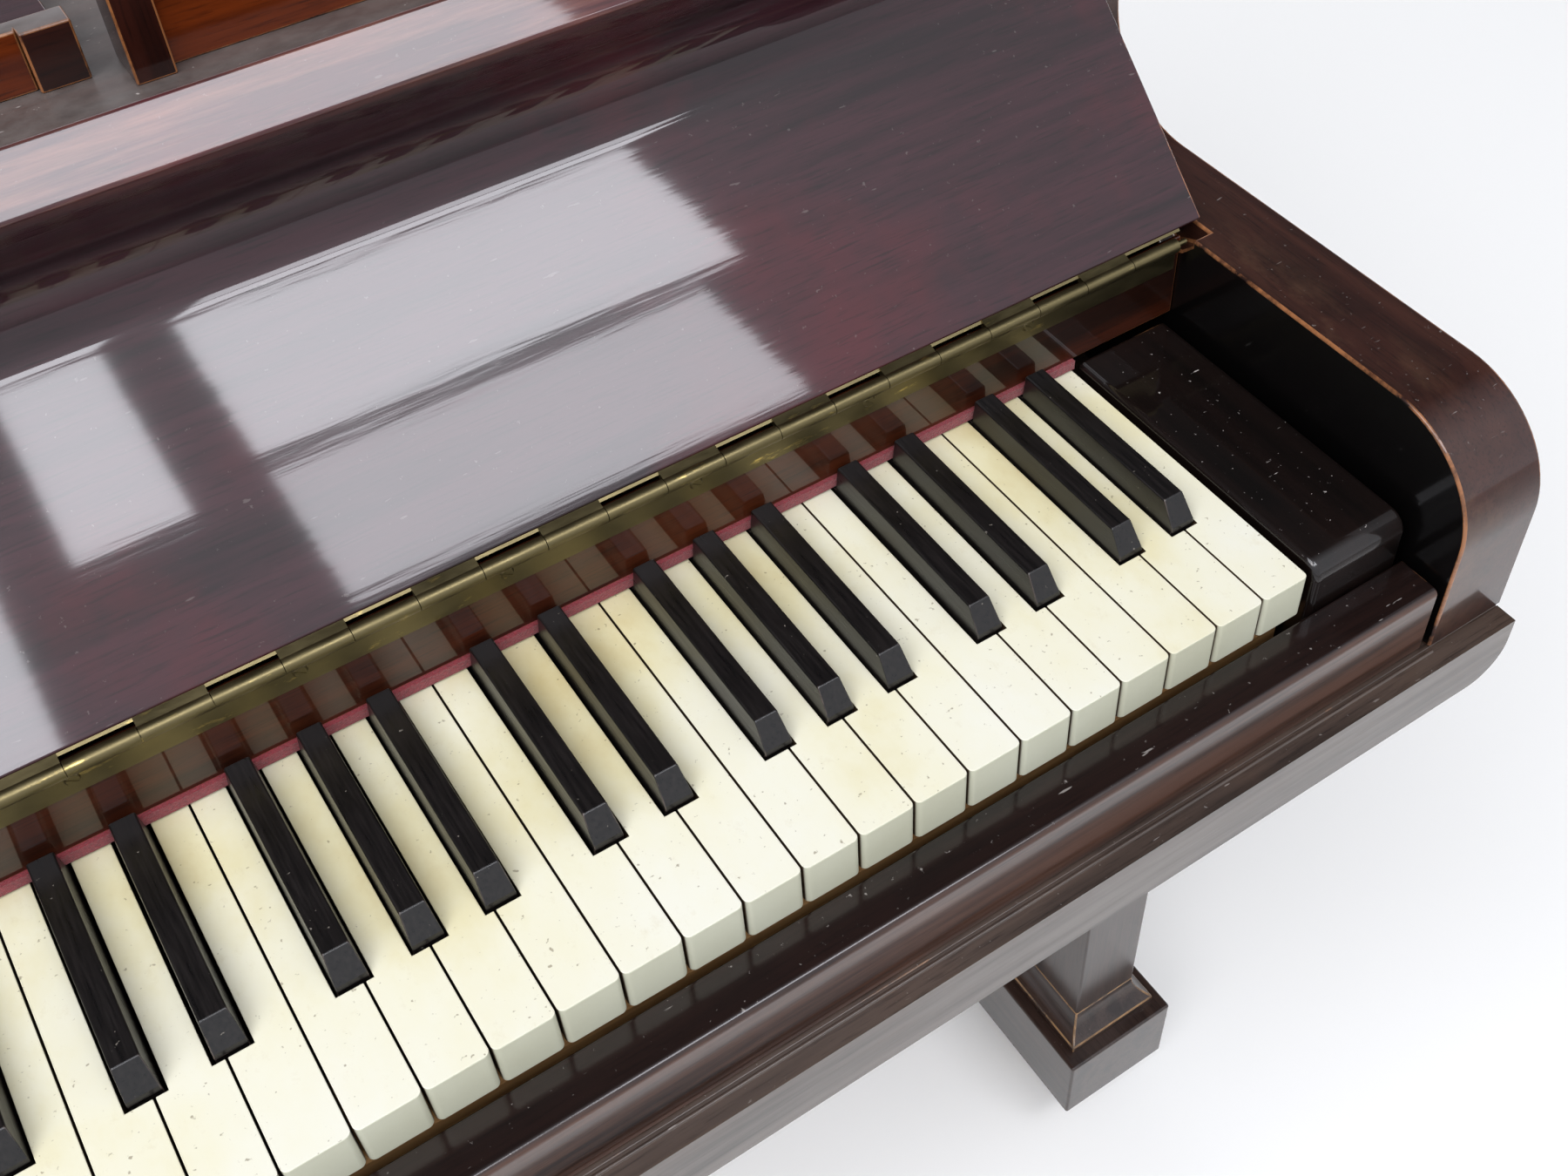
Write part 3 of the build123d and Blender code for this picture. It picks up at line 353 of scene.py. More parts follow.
def turned(mesh, rings, sides=16):
    """Add a solid of revolution about Z through (radius, z) rings, closed at both ends."""
    loops = []
    for radius, z in rings:
        angles = [2 * pi * i / sides for i in range(sides)]
        corners = [(radius * cos(angle), radius * sin(angle), z) for angle in angles]
        loops.append([mesh.verts.new(corner) for corner in corners])
    mesh.faces.new(loops[0][::-1])
    mesh.faces.new(loops[-1])
    for low, high in zip(loops, loops[1:]):
        for i in range(sides):
            j = (i + 1) % sides
            mesh.faces.new((low[i], low[j], high[j], high[i]))


def hoop(mesh, radius, wire, z, sides=14, around=6):
    """Add one turn of round wire about Z."""
    loops = []
    for i in range(sides):
        angle = 2 * pi * i / sides
        loop = []
        for k in range(around):
            bend = 2 * pi * k / around
            out = radius + wire * cos(bend)
            loop.append(mesh.verts.new((out * cos(angle), out * sin(angle), z + wire * sin(bend))))
        loops.append(loop)
    for i in range(sides):
        after = loops[(i + 1) % sides]
        for k in range(around):
            j = (k + 1) % around
            mesh.faces.new((loops[i][k], after[k], after[j], loops[i][j]))


# ---------------------------------------------------------------- rows of like parts
def row_tree():
    """Node tree that sets a part at each point, turned a little at random about one axis."""
    tree = bpy.data.node_groups.new("row_of_parts", "GeometryNodeTree")
    for name, kind in (
        ("Points", "NodeSocketGeometry"),
        ("Part", "NodeSocketObject"),
        ("Finish", "NodeSocketMaterial"),
        ("Least turn", "NodeSocketVector"),
        ("Greatest turn", "NodeSocketVector"),
        ("Seed", "NodeSocketInt"),
    ):
        tree.interface.new_socket(name, in_out="INPUT", socket_type=kind)
    tree.interface.new_socket("Row", in_out="OUTPUT", socket_type="NodeSocketGeometry")
    given = tree.nodes.new("NodeGroupInput").outputs
    part = add(tree, "GeometryNodeObjectInfo", {"Object": given["Part"]}, output="Geometry")
    links = {"Min": given["Least turn"], "Max": given["Greatest turn"], "Seed": given["Seed"]}
    turn = add(tree, "FunctionNodeRandomValue", links, output="Value", data_type="FLOAT_VECTOR")
    links = {"Points": given["Points"], "Instance": part, "Rotation": turn}
    row = add(tree, "GeometryNodeInstanceOnPoints", links)
    row = add(tree, "GeometryNodeRealizeInstances", {"Geometry": row})
    row = add(tree, "GeometryNodeSetMaterial", {"Geometry": row, "Material": given["Finish"]})
    join(tree, tree.nodes.new("NodeGroupOutput"), {"Row": row})
    return tree


def row_of(name, shape, places, material, body, turn=(0, 0, 0), seed=1, replaced=()):
    """One piece made of copies of a shape, a function that fills a bmesh, at the given places."""
    tree = bpy.data.node_groups.get("row_of_parts") or row_tree()
    mesh = bmesh.new()
    shape(mesh)
    bmesh.ops.recalc_face_normals(mesh, faces=mesh.faces)
    part_mesh = bpy.data.meshes.new(name + "_part")
    mesh.to_mesh(part_mesh)
    mesh.free()
    part = bpy.data.objects.new(name + "_part", part_mesh)
    points = bpy.data.meshes.new(name + "_points")
    points.from_pydata([tuple(place) for place in places], [], [])
    holder = bpy.data.objects.new(name + "_points", points)
    for one in (part, holder):
        bpy.context.scene.collection.objects.link(one)
    modifier = holder.modifiers.new("row", "NODES")
    modifier.node_group = tree
    names = {item.name: item.identifier for item in tree.interface.items_tree if item.in_out == "INPUT"}
    modifier[names["Part"]] = part
    modifier[names["Finish"]] = material
    modifier[names["Least turn"]] = [-angle for angle in turn]
    modifier[names["Greatest turn"]] = list(turn)
    modifier[names["Seed"]] = seed
    made = bpy.data.meshes.new_from_object(holder.evaluated_get(bpy.context.evaluated_depsgraph_get()))
    for one in (part, holder):
        bpy.data.objects.remove(one)
    for face in made.polygons:
        face.use_smooth = True
    made.set_sharp_from_angle(angle=radians(40))
    return finished(name, made, material, body, replaced)


def slotted_head(mesh, radius=2.7, slot=0.5, rise=0.5):
    """Countersunk screw head facing the bass: a disc with a slot across it, proud by rise, in millimetres."""
    place = Matrix.Rotation(-pi / 2, 4, "Y")
    start = slot / 2 / radius
    for side in (1, -1):
        angles = [start + (pi - 2 * start) * i / 10 for i in range(11)]
        outline = [(radius * MM * cos(a), side * radius * MM * sin(a)) for a in angles]
        prism(mesh, outline if side == 1 else outline[::-1], -0.2 * MM, rise * MM, place)
    rim = 0.97 * radius * MM
    whole = [(rim * cos(pi * i / 9), rim * sin(pi * i / 9)) for i in range(18)]
    prism(mesh, whole, -0.3 * MM, 0.1 * MM, place)


def wound_pin(mesh, high=0.0298):
    """Tuning pin: tapered steel pin with a square head and three turns of wire."""
    shaft = [(3.3 * MM, 0), (3.4 * MM, 1 * MM), (3.2 * MM, high - 11 * MM), (2.6 * MM, high - 10.5 * MM)]
    turned(mesh, shaft, 12)
    turned(mesh, [(2.9 * MM, high - 10.6 * MM), (2.5 * MM, high - 0.6 * MM), (1.9 * MM, high)], 4)
    for number in range(3):
        hoop(mesh, 3.9 * MM, 0.6 * MM, (7 + 1.3 * number) * MM)


def hammer_felt(mesh):
    """Egg-shaped felt wrapped over the moulding, its nose up; the origin is under the nose's centre."""
    outline = []
    for i in range(13):
        angle = pi * i / 12
        outline.append((6.2 * MM * cos(angle), 6.0 * MM * sin(angle)))
    outline += [(-6.4 * MM, -12 * MM), (-3.4 * MM, -26 * MM), (-2.6 * MM, -26 * MM), (0, -3 * MM)]
    outline += [(2.6 * MM, -26 * MM), (3.4 * MM, -26 * MM), (6.4 * MM, -12 * MM)]
    stand = Matrix(((0, 0, 1, 0), (1, 0, 0, 0), (0, 1, 0, 0), (0, 0, 0, 1)))
    prism(mesh, outline, -3.4 * MM, 3.4 * MM, stand)


def hammer_wood(mesh):
    """Maple moulding inside the felt, on its round shank."""
    outline = [(0, -4 * MM), (-2.4 * MM, -26 * MM), (-4.5 * MM, -30 * MM), (-5.5 * MM, -47 * MM)]
    outline += [(5.5 * MM, -47 * MM), (4.5 * MM, -30 * MM), (2.4 * MM, -26 * MM)]
    stand = Matrix(((0, 0, 1, 0), (1, 0, 0, 0), (0, 1, 0, 0), (0, 0, 0, 1)))
    prism(mesh, outline, -2.9 * MM, 2.9 * MM, stand)
    sides = [(2.5 * MM * cos(2 * pi * i / 8), 2.5 * MM * sin(2 * pi * i / 8)) for i in range(8)]
    along = Matrix.Translation((0, 0, -43 * MM)) @ Matrix.Rotation(pi / 2, 4, "X")
    prism(mesh, sides, 4 * MM, 104 * MM, along)


def damper_head(mesh):
    """Black block with chamfered top edges and its lifting wire behind."""
    outline = [(-4 * MM, 6 * MM), (-4 * MM, 15 * MM), (-2.6 * MM, 17.5 * MM), (2.6 * MM, 17.5 * MM)]
    outline += [(4 * MM, 15 * MM), (4 * MM, 6 * MM)]
    prism(mesh, outline, -14 * MM, 14 * MM, Matrix.Rotation(pi / 2, 4, "X"))
    turned(mesh, [(1 * MM, 17 * MM), (1 * MM, 17.9 * MM)], 8)


def damper_felt(mesh):
    """Wedge felts under a damper, split to sit on its string."""
    for x in (-1.8, 1.8):
        wedge = [(x - 1.3, 6), (x - 0.4, 2.2), (x + 0.4, 2.2), (x + 1.3, 6)]
        outline = [(across * MM, high * MM) for across, high in wedge]
        prism(mesh, outline, -12 * MM, 12 * MM, Matrix.Rotation(pi / 2, 4, "X"))


# ---------------------------------------------------------------- materials
ARM_TONES = ("#20110d", "#382018", "#3e1f18", "#8e5d3a")
SLIP_TONES = ("#0f0908", "#1c100d", "#26130f", "#8a5f3c")
BLOCK_TONES = ("#0a0706", "#130c0a", "#1c100c", "#6d4a30")
NAME_TONES = ("#1f0e08", "#3d1a0d", "#522711", "#8a5531")
NOSING_TONES = ("#2c231e", "#453830", "#4a372c", "#7d5a3e")
LEG_TONES = ("#211714", "#382a24", "#3c2a22", "#8c6a44")
PANEL_TONES = ("#3d1406", "#6b2c0c", "#83400f", "#7d4d28")
STILE_TONES = ("#1a0a07", "#2f130c", "#3a170e", "#8e5a34")


def ivory(front_y, cream):
    """Celluloid key covers: warm cream, yellowed where fingers seldom reach, grimy in patches, with the wood
    between the keys darkened by painted shade.
    """
    material, tree, shader, place = surface("yellowed_celluloid")
    depth = add(tree, "ShaderNodeSeparateXYZ", {0: place}, output="Y")
    reach = {"Value": depth, "From Min": front_y + 30 * MM, "From Max": front_y + 110 * MM, "To Max": 0.26}
    back = add(tree, "ShaderNodeMapRange", reach)
    cloud = mottle(tree, place, (14, 9, 14), 6, 0.6)
    stain = add(tree, "ShaderNodeMath", {0: back, 1: cloud}, operation="ADD")
    stops = [(0.42, cream), (0.62, "#dedac1"), (0.78, "#d7cfa8"), (0.95, "#c8b783")]
    colour = add(tree, "ShaderNodeValToRGB", {"Fac": stain}, stops)
    grime = mottle(tree, place, (130, 90, 130), 6, 0.78, (4, 2, 0))
    reach = {"Value": grime, "From Min": 0.58, "From Max": 0.8, "To Max": 0.3}
    over = {"Factor": add(tree, "ShaderNodeMapRange", reach), 6: colour, 7: rgba("#b7a67a")}
    colour = add(tree, "ShaderNodeMix", over, output=2, data_type="RGBA")
    specks = mottle(tree, place, (480, 480, 480), 2, 0.5, (1, 7, 3))
    reach = {"Value": specks, "From Min": 0.7, "From Max": 0.76, "To Max": 0.6}
    over = {"Factor": add(tree, "ShaderNodeMapRange", reach), 6: colour, 7: rgba("#6f5f44")}
    colour = add(tree, "ShaderNodeMix", over, output=2, data_type="RGBA")
    fascia = add(tree, "ShaderNodeMapRange", {"Value": facing(tree, "Y"), "From Min": -0.3, "From Max": -0.6})
    shaded = add(tree, "ShaderNodeValToRGB", {"Fac": cloud}, [(0.3, "#c2c2ae"), (0.7, "#b7b69f")])
    colour = add(tree, "ShaderNodeMix", {"Factor": fascia, 6: colour, 7: shaded}, output=2, data_type="RGBA")
    top = add(tree, "ShaderNodeMapRange", {"Value": facing(tree, "Z"), "From Min": 0.3, "From Max": 0.6})
    cover = add(tree, "ShaderNodeMath", {0: top, 1: fascia}, operation="MAXIMUM")
    bare = add(tree, "ShaderNodeMath", {0: 1.0, 1: cover}, operation="SUBTRACT")
    reach = {"Value": depth, "From Min": front_y + 148 * MM, "From Max": front_y + 149 * MM}
    lever = add(tree, "ShaderNodeMapRange", reach)
    wooden = add(tree, "ShaderNodeMath", {0: bare, 1: lever}, operation="MAXIMUM")
    grain = mottle(tree, place, fibre("Y", 500), 3)
    # the keys' bare wood: dark brown, partly its own tone, partly painted shade for the gaps between keys
    shaded_key_wood = add(tree, "ShaderNodeValToRGB", {"Fac": grain}, [(0.3, "#2f2318"), (0.7, "#4c3b27")])
    colour = add(tree, "ShaderNodeMix", {"Factor": wooden, 6: colour, 7: shaded_key_wood}, output=2, data_type="RGBA")
    reach = {"Value": grime, "From Min": 0.3, "From Max": 0.7, "To Min": 0.38, "To Max": 0.55}
    join(tree, shader, {
        "Base Color": colour,
        "Roughness": add(tree, "ShaderNodeMapRange", reach),
        "Specular IOR Level": 0.4,
        "Normal": add(tree, "ShaderNodeBump", {"Height": grime, "Distance": 0.04 * MM, "Strength": 1.0}),
    })
    return material


def ebony(name="ebonised_pearwood"):
    """Ebonised key tops: satin black, polished grey-brown where fingers strike the front edge."""
    material, tree, shader, place = surface(name)
    grain = mottle(tree, place, fibre("Y", 700), 3, 0.6)
    colour = add(tree, "ShaderNodeValToRGB", {"Fac": grain}, [(0.3, "#090808"), (0.7, "#171312")])
    edges = add(tree, "ShaderNodeAttribute", {}, output="Fac", attribute_name="wear")
    rubbed = mottle(tree, place, (120, 60, 120), 4, 0.7)
    reach = {"Value": rubbed, "From Min": 0.45, "From Max": 0.7, "To Max": 0.6}
    rubbed = add(tree, "ShaderNodeMapRange", reach)
    rubbed = add(tree, "ShaderNodeMath", {0: rubbed, 1: edges}, operation="MULTIPLY")
    over = {"Factor": rubbed, 6: colour, 7: rgba("#5d5048")}
    colour = add(tree, "ShaderNodeMix", over, output=2, data_type="RGBA")
    specks = mottle(tree, place, (500, 500, 500), 2, 0.5, (6, 2, 3))
    reach = {"Value": specks, "From Min": 0.74, "From Max": 0.79, "To Max": 0.6}
    over = {"Factor": add(tree, "ShaderNodeMapRange", reach), 6: colour, 7: rgba("#8a8378")}
    reach = {"Value": grain, "From Min": 0.3, "From Max": 0.7, "To Min": 0.26, "To Max": 0.4}
    join(tree, shader, {
        "Base Color": add(tree, "ShaderNodeMix", over, output=2, data_type="RGBA"),
        "Roughness": add(tree, "ShaderNodeMapRange", reach),
        "Normal": add(tree, "ShaderNodeBump", {"Height": grain, "Distance": 0.015 * MM, "Strength": 1.0}),
    })
    return material


def brass(name, dull, bright, shine=0.5):
    """Old brass: brown film over most of it, yellow where it is rubbed."""
    material, tree, shader, place = surface(name)
    film = mottle(tree, place, (40, 160, 160), 5, 0.7)
    stops = [(0.35, dull), (shine + 0.12, dull), (shine + 0.24, bright)]
    reach = {"Value": film, "From Min": 0.35, "From Max": 0.75, "To Min": 0.48, "To Max": 0.26}
    pits = mottle(tree, place, (900, 900, 900), 3)
    join(tree, shader, {
        "Base Color": add(tree, "ShaderNodeValToRGB", {"Fac": film}, stops),
        "Metallic": 1.0,
        "Roughness": add(tree, "ShaderNodeMapRange", reach),
        "Normal": add(tree, "ShaderNodeBump", {"Height": pits, "Distance": 0.02 * MM, "Strength": 1.0}),
    })
    return material


def felt(name, dark, light):
    """Pressed wool felt: matt, with short matted fibres."""
    material, tree, shader, place = surface(name)
    fibres = mottle(tree, place, (900, 900, 900), 4, 0.8)
    join(tree, shader, {
        "Base Color": add(tree, "ShaderNodeValToRGB", {"Fac": fibres}, [(0.3, dark), (0.7, light)]),
        "Roughness": 0.95,
        "Sheen Weight": 0.4,
        "Normal": add(tree, "ShaderNodeBump", {"Height": fibres, "Distance": 0.4 * MM, "Strength": 1.0}),
    })
    return material


def plain_wood(name, along, dark, light):
    """Planed softwood or beech: open grain lines, no polish."""
    material, tree, shader, place = surface(name)
    grain = mottle(tree, place, fibre(along, 300), 4, 0.6)
    join(tree, shader, {
        "Base Color": add(tree, "ShaderNodeValToRGB", {"Fac": grain}, [(0.3, dark), (0.7, light)]),
        "Roughness": 0.55,
        "Normal": add(tree, "ShaderNodeBump", {"Height": grain, "Distance": 0.03 * MM, "Strength": 1.0}),
    })
    return material


def gilt_iron(gilt):
    """Cast iron sprayed with bronze lacquer: fine sand texture under a warm metallic coat."""
    material, tree, shader, place = surface("bronzed_cast_iron")
    sand = mottle(tree, place, (700, 700, 700), 3, 0.6)
    cloud = mottle(tree, place, (8, 8, 8), 3, 0.6)
    reach = {"Value": cloud, "From Min": 0.3, "From Max": 0.7, "To Min": 0.36, "To Max": 0.5}
    join(tree, shader, {
        "Base Color": add(tree, "ShaderNodeValToRGB", {"Fac": cloud}, [(0.3, "#7d5f2a"), (0.7, gilt)]),
        "Metallic": 0.7,
        "Roughness": add(tree, "ShaderNodeMapRange", reach),
        "Normal": add(tree, "ShaderNodeBump", {"Height": sand, "Distance": 0.08 * MM, "Strength": 1.0}),
    })
    return material


STEEL_STOPS = ((0.3, "#77797c"), (0.7, "#b0b2b4"))


def wire_steel():
    """Drawn steel wire and nickelled pins, slightly dulled."""
    material, tree, shader, place = surface("drawn_steel")
    dull = mottle(tree, place, (60, 60, 60), 4, 0.6)
    reach = {"Value": dull, "From Min": 0.3, "From Max": 0.7, "To Min": 0.22, "To Max": 0.4}
    join(tree, shader, {
        "Base Color": add(tree, "ShaderNodeValToRGB", {"Fac": dull}, STEEL_STOPS),
        "Metallic": 1.0,
        "Roughness": add(tree, "ShaderNodeMapRange", reach),
    })
    return material


def wound_wire(box):
    """Bass strings wound with copper, 0.8 mm a turn, and plain steel towards the treble."""
    material, tree, shader, place = surface("copper_wound_and_steel_wire")
    side = add(tree, "ShaderNodeSeparateXYZ", {0: place}, output="X")
    last_wound = box[0].x + 420 * MM
    reach = {"Value": side, "From Min": last_wound, "From Max": last_wound + 5 * MM}
    plain = add(tree, "ShaderNodeMapRange", reach)
    dull = mottle(tree, place, (90, 12, 90), 4, 0.6)
    copper = add(tree, "ShaderNodeValToRGB", {"Fac": dull}, [(0.3, "#6e3d22"), (0.7, "#a9663d")])
    steel = add(tree, "ShaderNodeValToRGB", {"Fac": dull}, STEEL_STOPS)
    # the wave has 20 bands in a unit of its scale
    turns = {"Vector": place, "Scale": 1 / (20 * 0.8 * MM)}
    turns = add(tree, "ShaderNodeTexWave", turns, output="Fac", bands_direction="Y")
    wound = add(tree, "ShaderNodeMath", {0: 1.0, 1: plain}, operation="SUBTRACT")
    height = add(tree, "ShaderNodeMath", {0: turns, 1: wound}, operation="MULTIPLY")
    over = {"Factor": plain, 6: copper, 7: steel}
    reach = {"Value": dull, "From Min": 0.3, "From Max": 0.7, "To Min": 0.25, "To Max": 0.42}
    join(tree, shader, {
        "Base Color": add(tree, "ShaderNodeMix", over, output=2, data_type="RGBA"),
        "Metallic": 1.0,
        "Roughness": add(tree, "ShaderNodeMapRange", reach),
        "Normal": add(tree, "ShaderNodeBump", {"Height": height, "Distance": 0.2 * MM, "Strength": 1.0}),
    })
    return material


def repaint(node, material):
    """Give a CAD node that keeps its shape its finished material."""
    mesh = NODES[node].data
    mesh.materials.clear()
    mesh.materials.append(material)


# ---------------------------------------------------------------- user settings
class PianoSettings(bpy.types.PropertyGroup):
    edge_round: bpy.props.FloatProperty(
        name="Edge round", description="Rounding of the case's edges", default=1.2 * MM, unit="LENGTH",
    )
    key_round: bpy.props.FloatProperty(
        name="Key round", description="Rounding of the key covers' edges", default=0.4 * MM, unit="LENGTH",
    )
    lens: bpy.props.FloatProperty(
        name="Lens", description="Camera focal length on a 36 mm frame", default=40.05, unit="CAMERA",
    )
    case_colour: bpy.props.FloatVectorProperty(
        name="Case colour", description="Middle tone of the polished lid and fall", subtype="COLOR",
        default=srgb("#32161d"),
    )
    key_colour: bpy.props.FloatVectorProperty(
        name="Key colour", description="Cleanest tone of the white keys", subtype="COLOR",
        default=srgb("#e0dece"),
    )
    felt_colour: bpy.props.FloatVectorProperty(
        name="Felt colour", description="Light tone of the felt strips", subtype="COLOR",
        default=srgb("#8f1f2b"),
    )
    brass_colour: bpy.props.FloatVectorProperty(
        name="Brass colour", description="Rubbed tone of the fall's hinge", subtype="COLOR",
        default=srgb("#d2b970"),
    )
    plate_colour: bpy.props.FloatVectorProperty(
        name="Plate colour", description="Light tone of the iron plate", subtype="COLOR",
        default=srgb("#a5823f"),
    )
    floor_colour: bpy.props.FloatVectorProperty(
        name="Floor colour", description="Colour of the studio floor", subtype="COLOR",
        default=srgb("#fffefa"),
    )


def settings():
    return bpy.context.scene.piano_settings


def case_tones():
    """Dark, middle, red and bare tones of the best polished wood."""
    return "#1c0b10", settings().case_colour, "#4e161c", "#8a5531"


# ---------------------------------------------------------------- operators
class PIANO_OT_case(bpy.types.Operator):
    """Polish the case, the keybed and the trim around the keys"""

    bl_idname = "piano.case"
    bl_label = "Case"

    def execute(self, context):
        round_mm = settings().edge_round / MM
        across = mahogany(
            "polished_mahogany_across", "X", SLIP_TONES, wear=0.45, gloss=0.12, dust=0.5, front="#54392d",
        )
        # the keybed and its nosing: their grey front tone is partly polish rubbed thin, partly a painted
        # reflection of the floor
        worn_and_reflecting = mahogany("dulled_mahogany", "X", NOSING_TONES, wear=0.3, gloss=0.25, dust=0.4, front="#5f564f")
        block = mahogany("blackened_mahogany", "Y", BLOCK_TONES, wear=0.35, gloss=0.06, dust=1.0)
        name = mahogany("polished_mahogany_nameboard", "X", NAME_TONES, wear=0.9, gloss=0.02, ripple=0.008)
        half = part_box("treble_side")[0].x + 1 * MM
        deep = mahogany("polished_mahogany_deep", "Y", ARM_TONES, wear=0.75, gloss=0.1, inside=half)
        for node in ("key_slip", "tail_end"):
            softened(node, across, round_mm * 0.7)
        softened("keybed", worn_and_reflecting, round_mm * 0.7)
        softened("keybed_nosing", worn_and_reflecting, 0.25, segments=1)
        softened("nameboard", name, 0.5)
        softened("key_blocks", block, round_mm)
        for node in ("spine_side", "treble_side", "bentside"):
            softened(node, deep, round_mm)
        beech = plain_wood("planed_beech", "X", "#8a6238", "#b98d5a")
        for node in ("case_frame", "case_rails", "key_frame"):
            repaint(node, beech)
        repaint("felt_strips", felt("red_wool_felt", "#5e1018", settings().felt_colour))
        return {"FINISHED"}


class PIANO_OT_keys(bpy.types.Operator):
    """Cover the white keys and ebonise the black ones"""

    bl_idname = "piano.keys"
    bl_label = "Keys"

    def execute(self, context):
        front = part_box("keys_C")[0].y
        white = ivory(front, settings().key_colour)
        black = ebony()
        for node in sorted(NODES):
            if node.startswith("keys_"):
                sharp = node.endswith("_sharp")
                softened(node, black if sharp else white, settings().key_round / MM, segments=2)
        return {"FINISHED"}


class PIANO_OT_fall(bpy.types.Operator):
    """Polish the fall and age its long brass hinge"""

    bl_idname = "piano.fall"
    bl_label = "Fall"

    def execute(self, context):
        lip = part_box("fallboard")[1].z - 22 * MM
        polish = mahogany("mirror_polished_mahogany", "X", case_tones(), wear=0.6, gloss=0.045, lip=lip)
        softened("fallboard", polish, 1.2, segments=3)
        metal = brass("tarnished_brass", "#6f6548", settings().brass_colour)
        for node in ("fall_hinge_leaf", "fall_hinge_flap"):
            repaint(node, metal)
        return {"FINISHED"}


class PIANO_OT_top(bpy.types.Operator):
    """Finish the music shelf, the panelled upstands, the desk and the lid"""

    bl_idname = "piano.top"
    bl_label = "Top"

    def execute(self, context):
        figured = mahogany("figured_mahogany", "X", PANEL_TONES, wear=0.4, gloss=0.12)
        polish = mahogany("lid_mahogany", "X", case_tones(), wear=0.5, gloss=0.05)
        stile = mahogany("stile_mahogany", "Z", STILE_TONES, wear=0.8, gloss=0.1)
        dusty = mahogany("dusty_mahogany", "X", STILE_TONES, wear=0.7, gloss=0.3, dust=0.9, film=0.3)
        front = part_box("desk_cheeks")[0].y
        desk_low, desk_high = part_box("music_desk")

        def in_cheek(at, way):
            return way.y < -0.9 and at.y > front + 3 * MM

        def in_shelf(at, way):
            return way.y < -0.9 and front + 16 * MM < at.y < front + 18 * MM

        def in_desk(at, way):
            return abs(way.z) > 0.9 and desk_low.z + 2 * MM < at.z < desk_high.z - 2 * MM

        softened("desk_cheeks", [stile, figured], 0.8, panel=in_cheek)
        softened("music_desk", [polish, figured], 0.8, panel=in_desk)
        softened("music_shelf", [dusty, figured], 0.8, panel=in_shelf)
        for node in ("lid", "lid_flap", "lid_prop"):
            softened(node, polish, 1.0)
        metal = brass("hinge_brass", "#5d4a26", "#b8953f")
        steel = brass("blued_screw_steel", "#3c3a36", "#8a857a")
        for node in ("lid_hinges_case", "lid_hinges_lid"):
            repaint(node, metal)
            places = []
            for low, high in islands(node):
                if high.x - low.x < 30 * MM:
                    z = low.z + 13 * MM if node.endswith("case") else high.z - 5.5 * MM
                    x, length = high.x - 1.2 * MM, high.y - low.y
                    places += [(x, low.y + share * length, z) for share in (0.16, 0.5, 0.84)]
            body = BODY_OF[node]
            row_of(node + "_screws", slotted_head, places, steel, body, (1.4, 0, 0), 3)
        return {"FINISHED"}


class PIANO_OT_inside(bpy.types.Operator):
    """Finish the plate, strings and soundboard, and build the pins, hammers and dampers"""

    bl_idname = "piano.inside"
    bl_label = "Inside"

    def execute(self, context):
        steel = wire_steel()
        maple = plain_wood("hammer_maple", "Y", "#a98455", "#cfae7d")
        repaint("iron_plate", gilt_iron(settings().plate_colour))
        repaint("strings", wound_wire(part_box("strings")))
        repaint("soundboard", plain_wood("varnished_spruce", "Y", "#a87a3e", "#c79a5a"))
        repaint("pin_block", plain_wood("pin_block_beech", "X", "#7a5530", "#a57c4c"))
        repaint("action_rack", plain_wood("action_beech", "X", "#8a6238", "#b98d5a"))
        pins = [((low.x + high.x) / 2, (low.y + high.y) / 2, low.z) for low, high in islands("tuning_pins")]
        row_of("tuning_pins_finish", wound_pin, pins, steel, "case", (0, 0, pi), 7, ("tuning_pins",))
        heads = [((low.x + high.x) / 2, high.y - 6 * MM, high.z - 6 * MM) for low, high in islands("hammers")]
        wool = felt("hammer_felt", "#b3ab97", "#ded6c2")
        row_of("hammer_felts", hammer_felt, heads, wool, "case", replaced=("hammers",))
        row_of("hammer_shanks", hammer_wood, heads, maple, "case", replaced=("hammers",))
        blocks = islands("dampers")
        stops = [((low.x + high.x) / 2, (low.y + high.y) / 2, low.z - 2 * MM) for low, high in blocks]
        row_of("damper_heads", damper_head, stops, ebony("damper_lacquer"), "case", replaced=("dampers",))
        row_of("damper_felts", damper_felt, stops, wool, "case", replaced=("dampers",))
        return {"FINISHED"}


class PIANO_OT_legs(bpy.types.Operator):
    """Finish the legs, the lyre, the pedals and the castors"""

    bl_idname = "piano.legs"
    bl_label = "Legs and pedals"

    def execute(self, context):
        upright = mahogany("polished_mahogany_upright", "Z", LEG_TONES, wear=0.55, gloss=0.2)
        level = mahogany("polished_mahogany_blocks", "Y", LEG_TONES, wear=0.7, gloss=0.2)
        for node in ("leg_posts", "lyre"):
            softened(node, upright, 1.0)
        for node in ("leg_mouldings", "foot_blocks", "pedal_box"):
            softened(node, level, 1.0)
        metal = brass("pedal_brass", "#6b5527", "#c9a548", shine=0.35)
        for node in NODES:
            if "castor" in node or node.startswith(("soft_", "sustain_")):
                repaint(node, metal)
        return {"FINISHED"}


class PIANO_OT_stage(bpy.types.Operator):
    """Set up the floor, the window lights and the camera"""

    bl_idname = "piano.stage"
    bl_label = "Studio"

    def execute(self, context):
        make_floor()
        make_windows()
        make_sky()
        make_camera()
        context.scene.view_settings.view_transform = "Standard"
        return {"FINISHED"}


# ---------------------------------------------------------------- studio
FLOOR_HALF = 14.0
WINDOW_DEPTH = -2.6
CAMERA_AT = (0.1962, -0.9454, 1.2168)
CAMERA_TURN, CAMERA_DIP, CAMERA_ROLL = radians(32.83), radians(47.76), radians(-1.63)
CAMERA_SHIFT = (-0.0472, -0.0189)
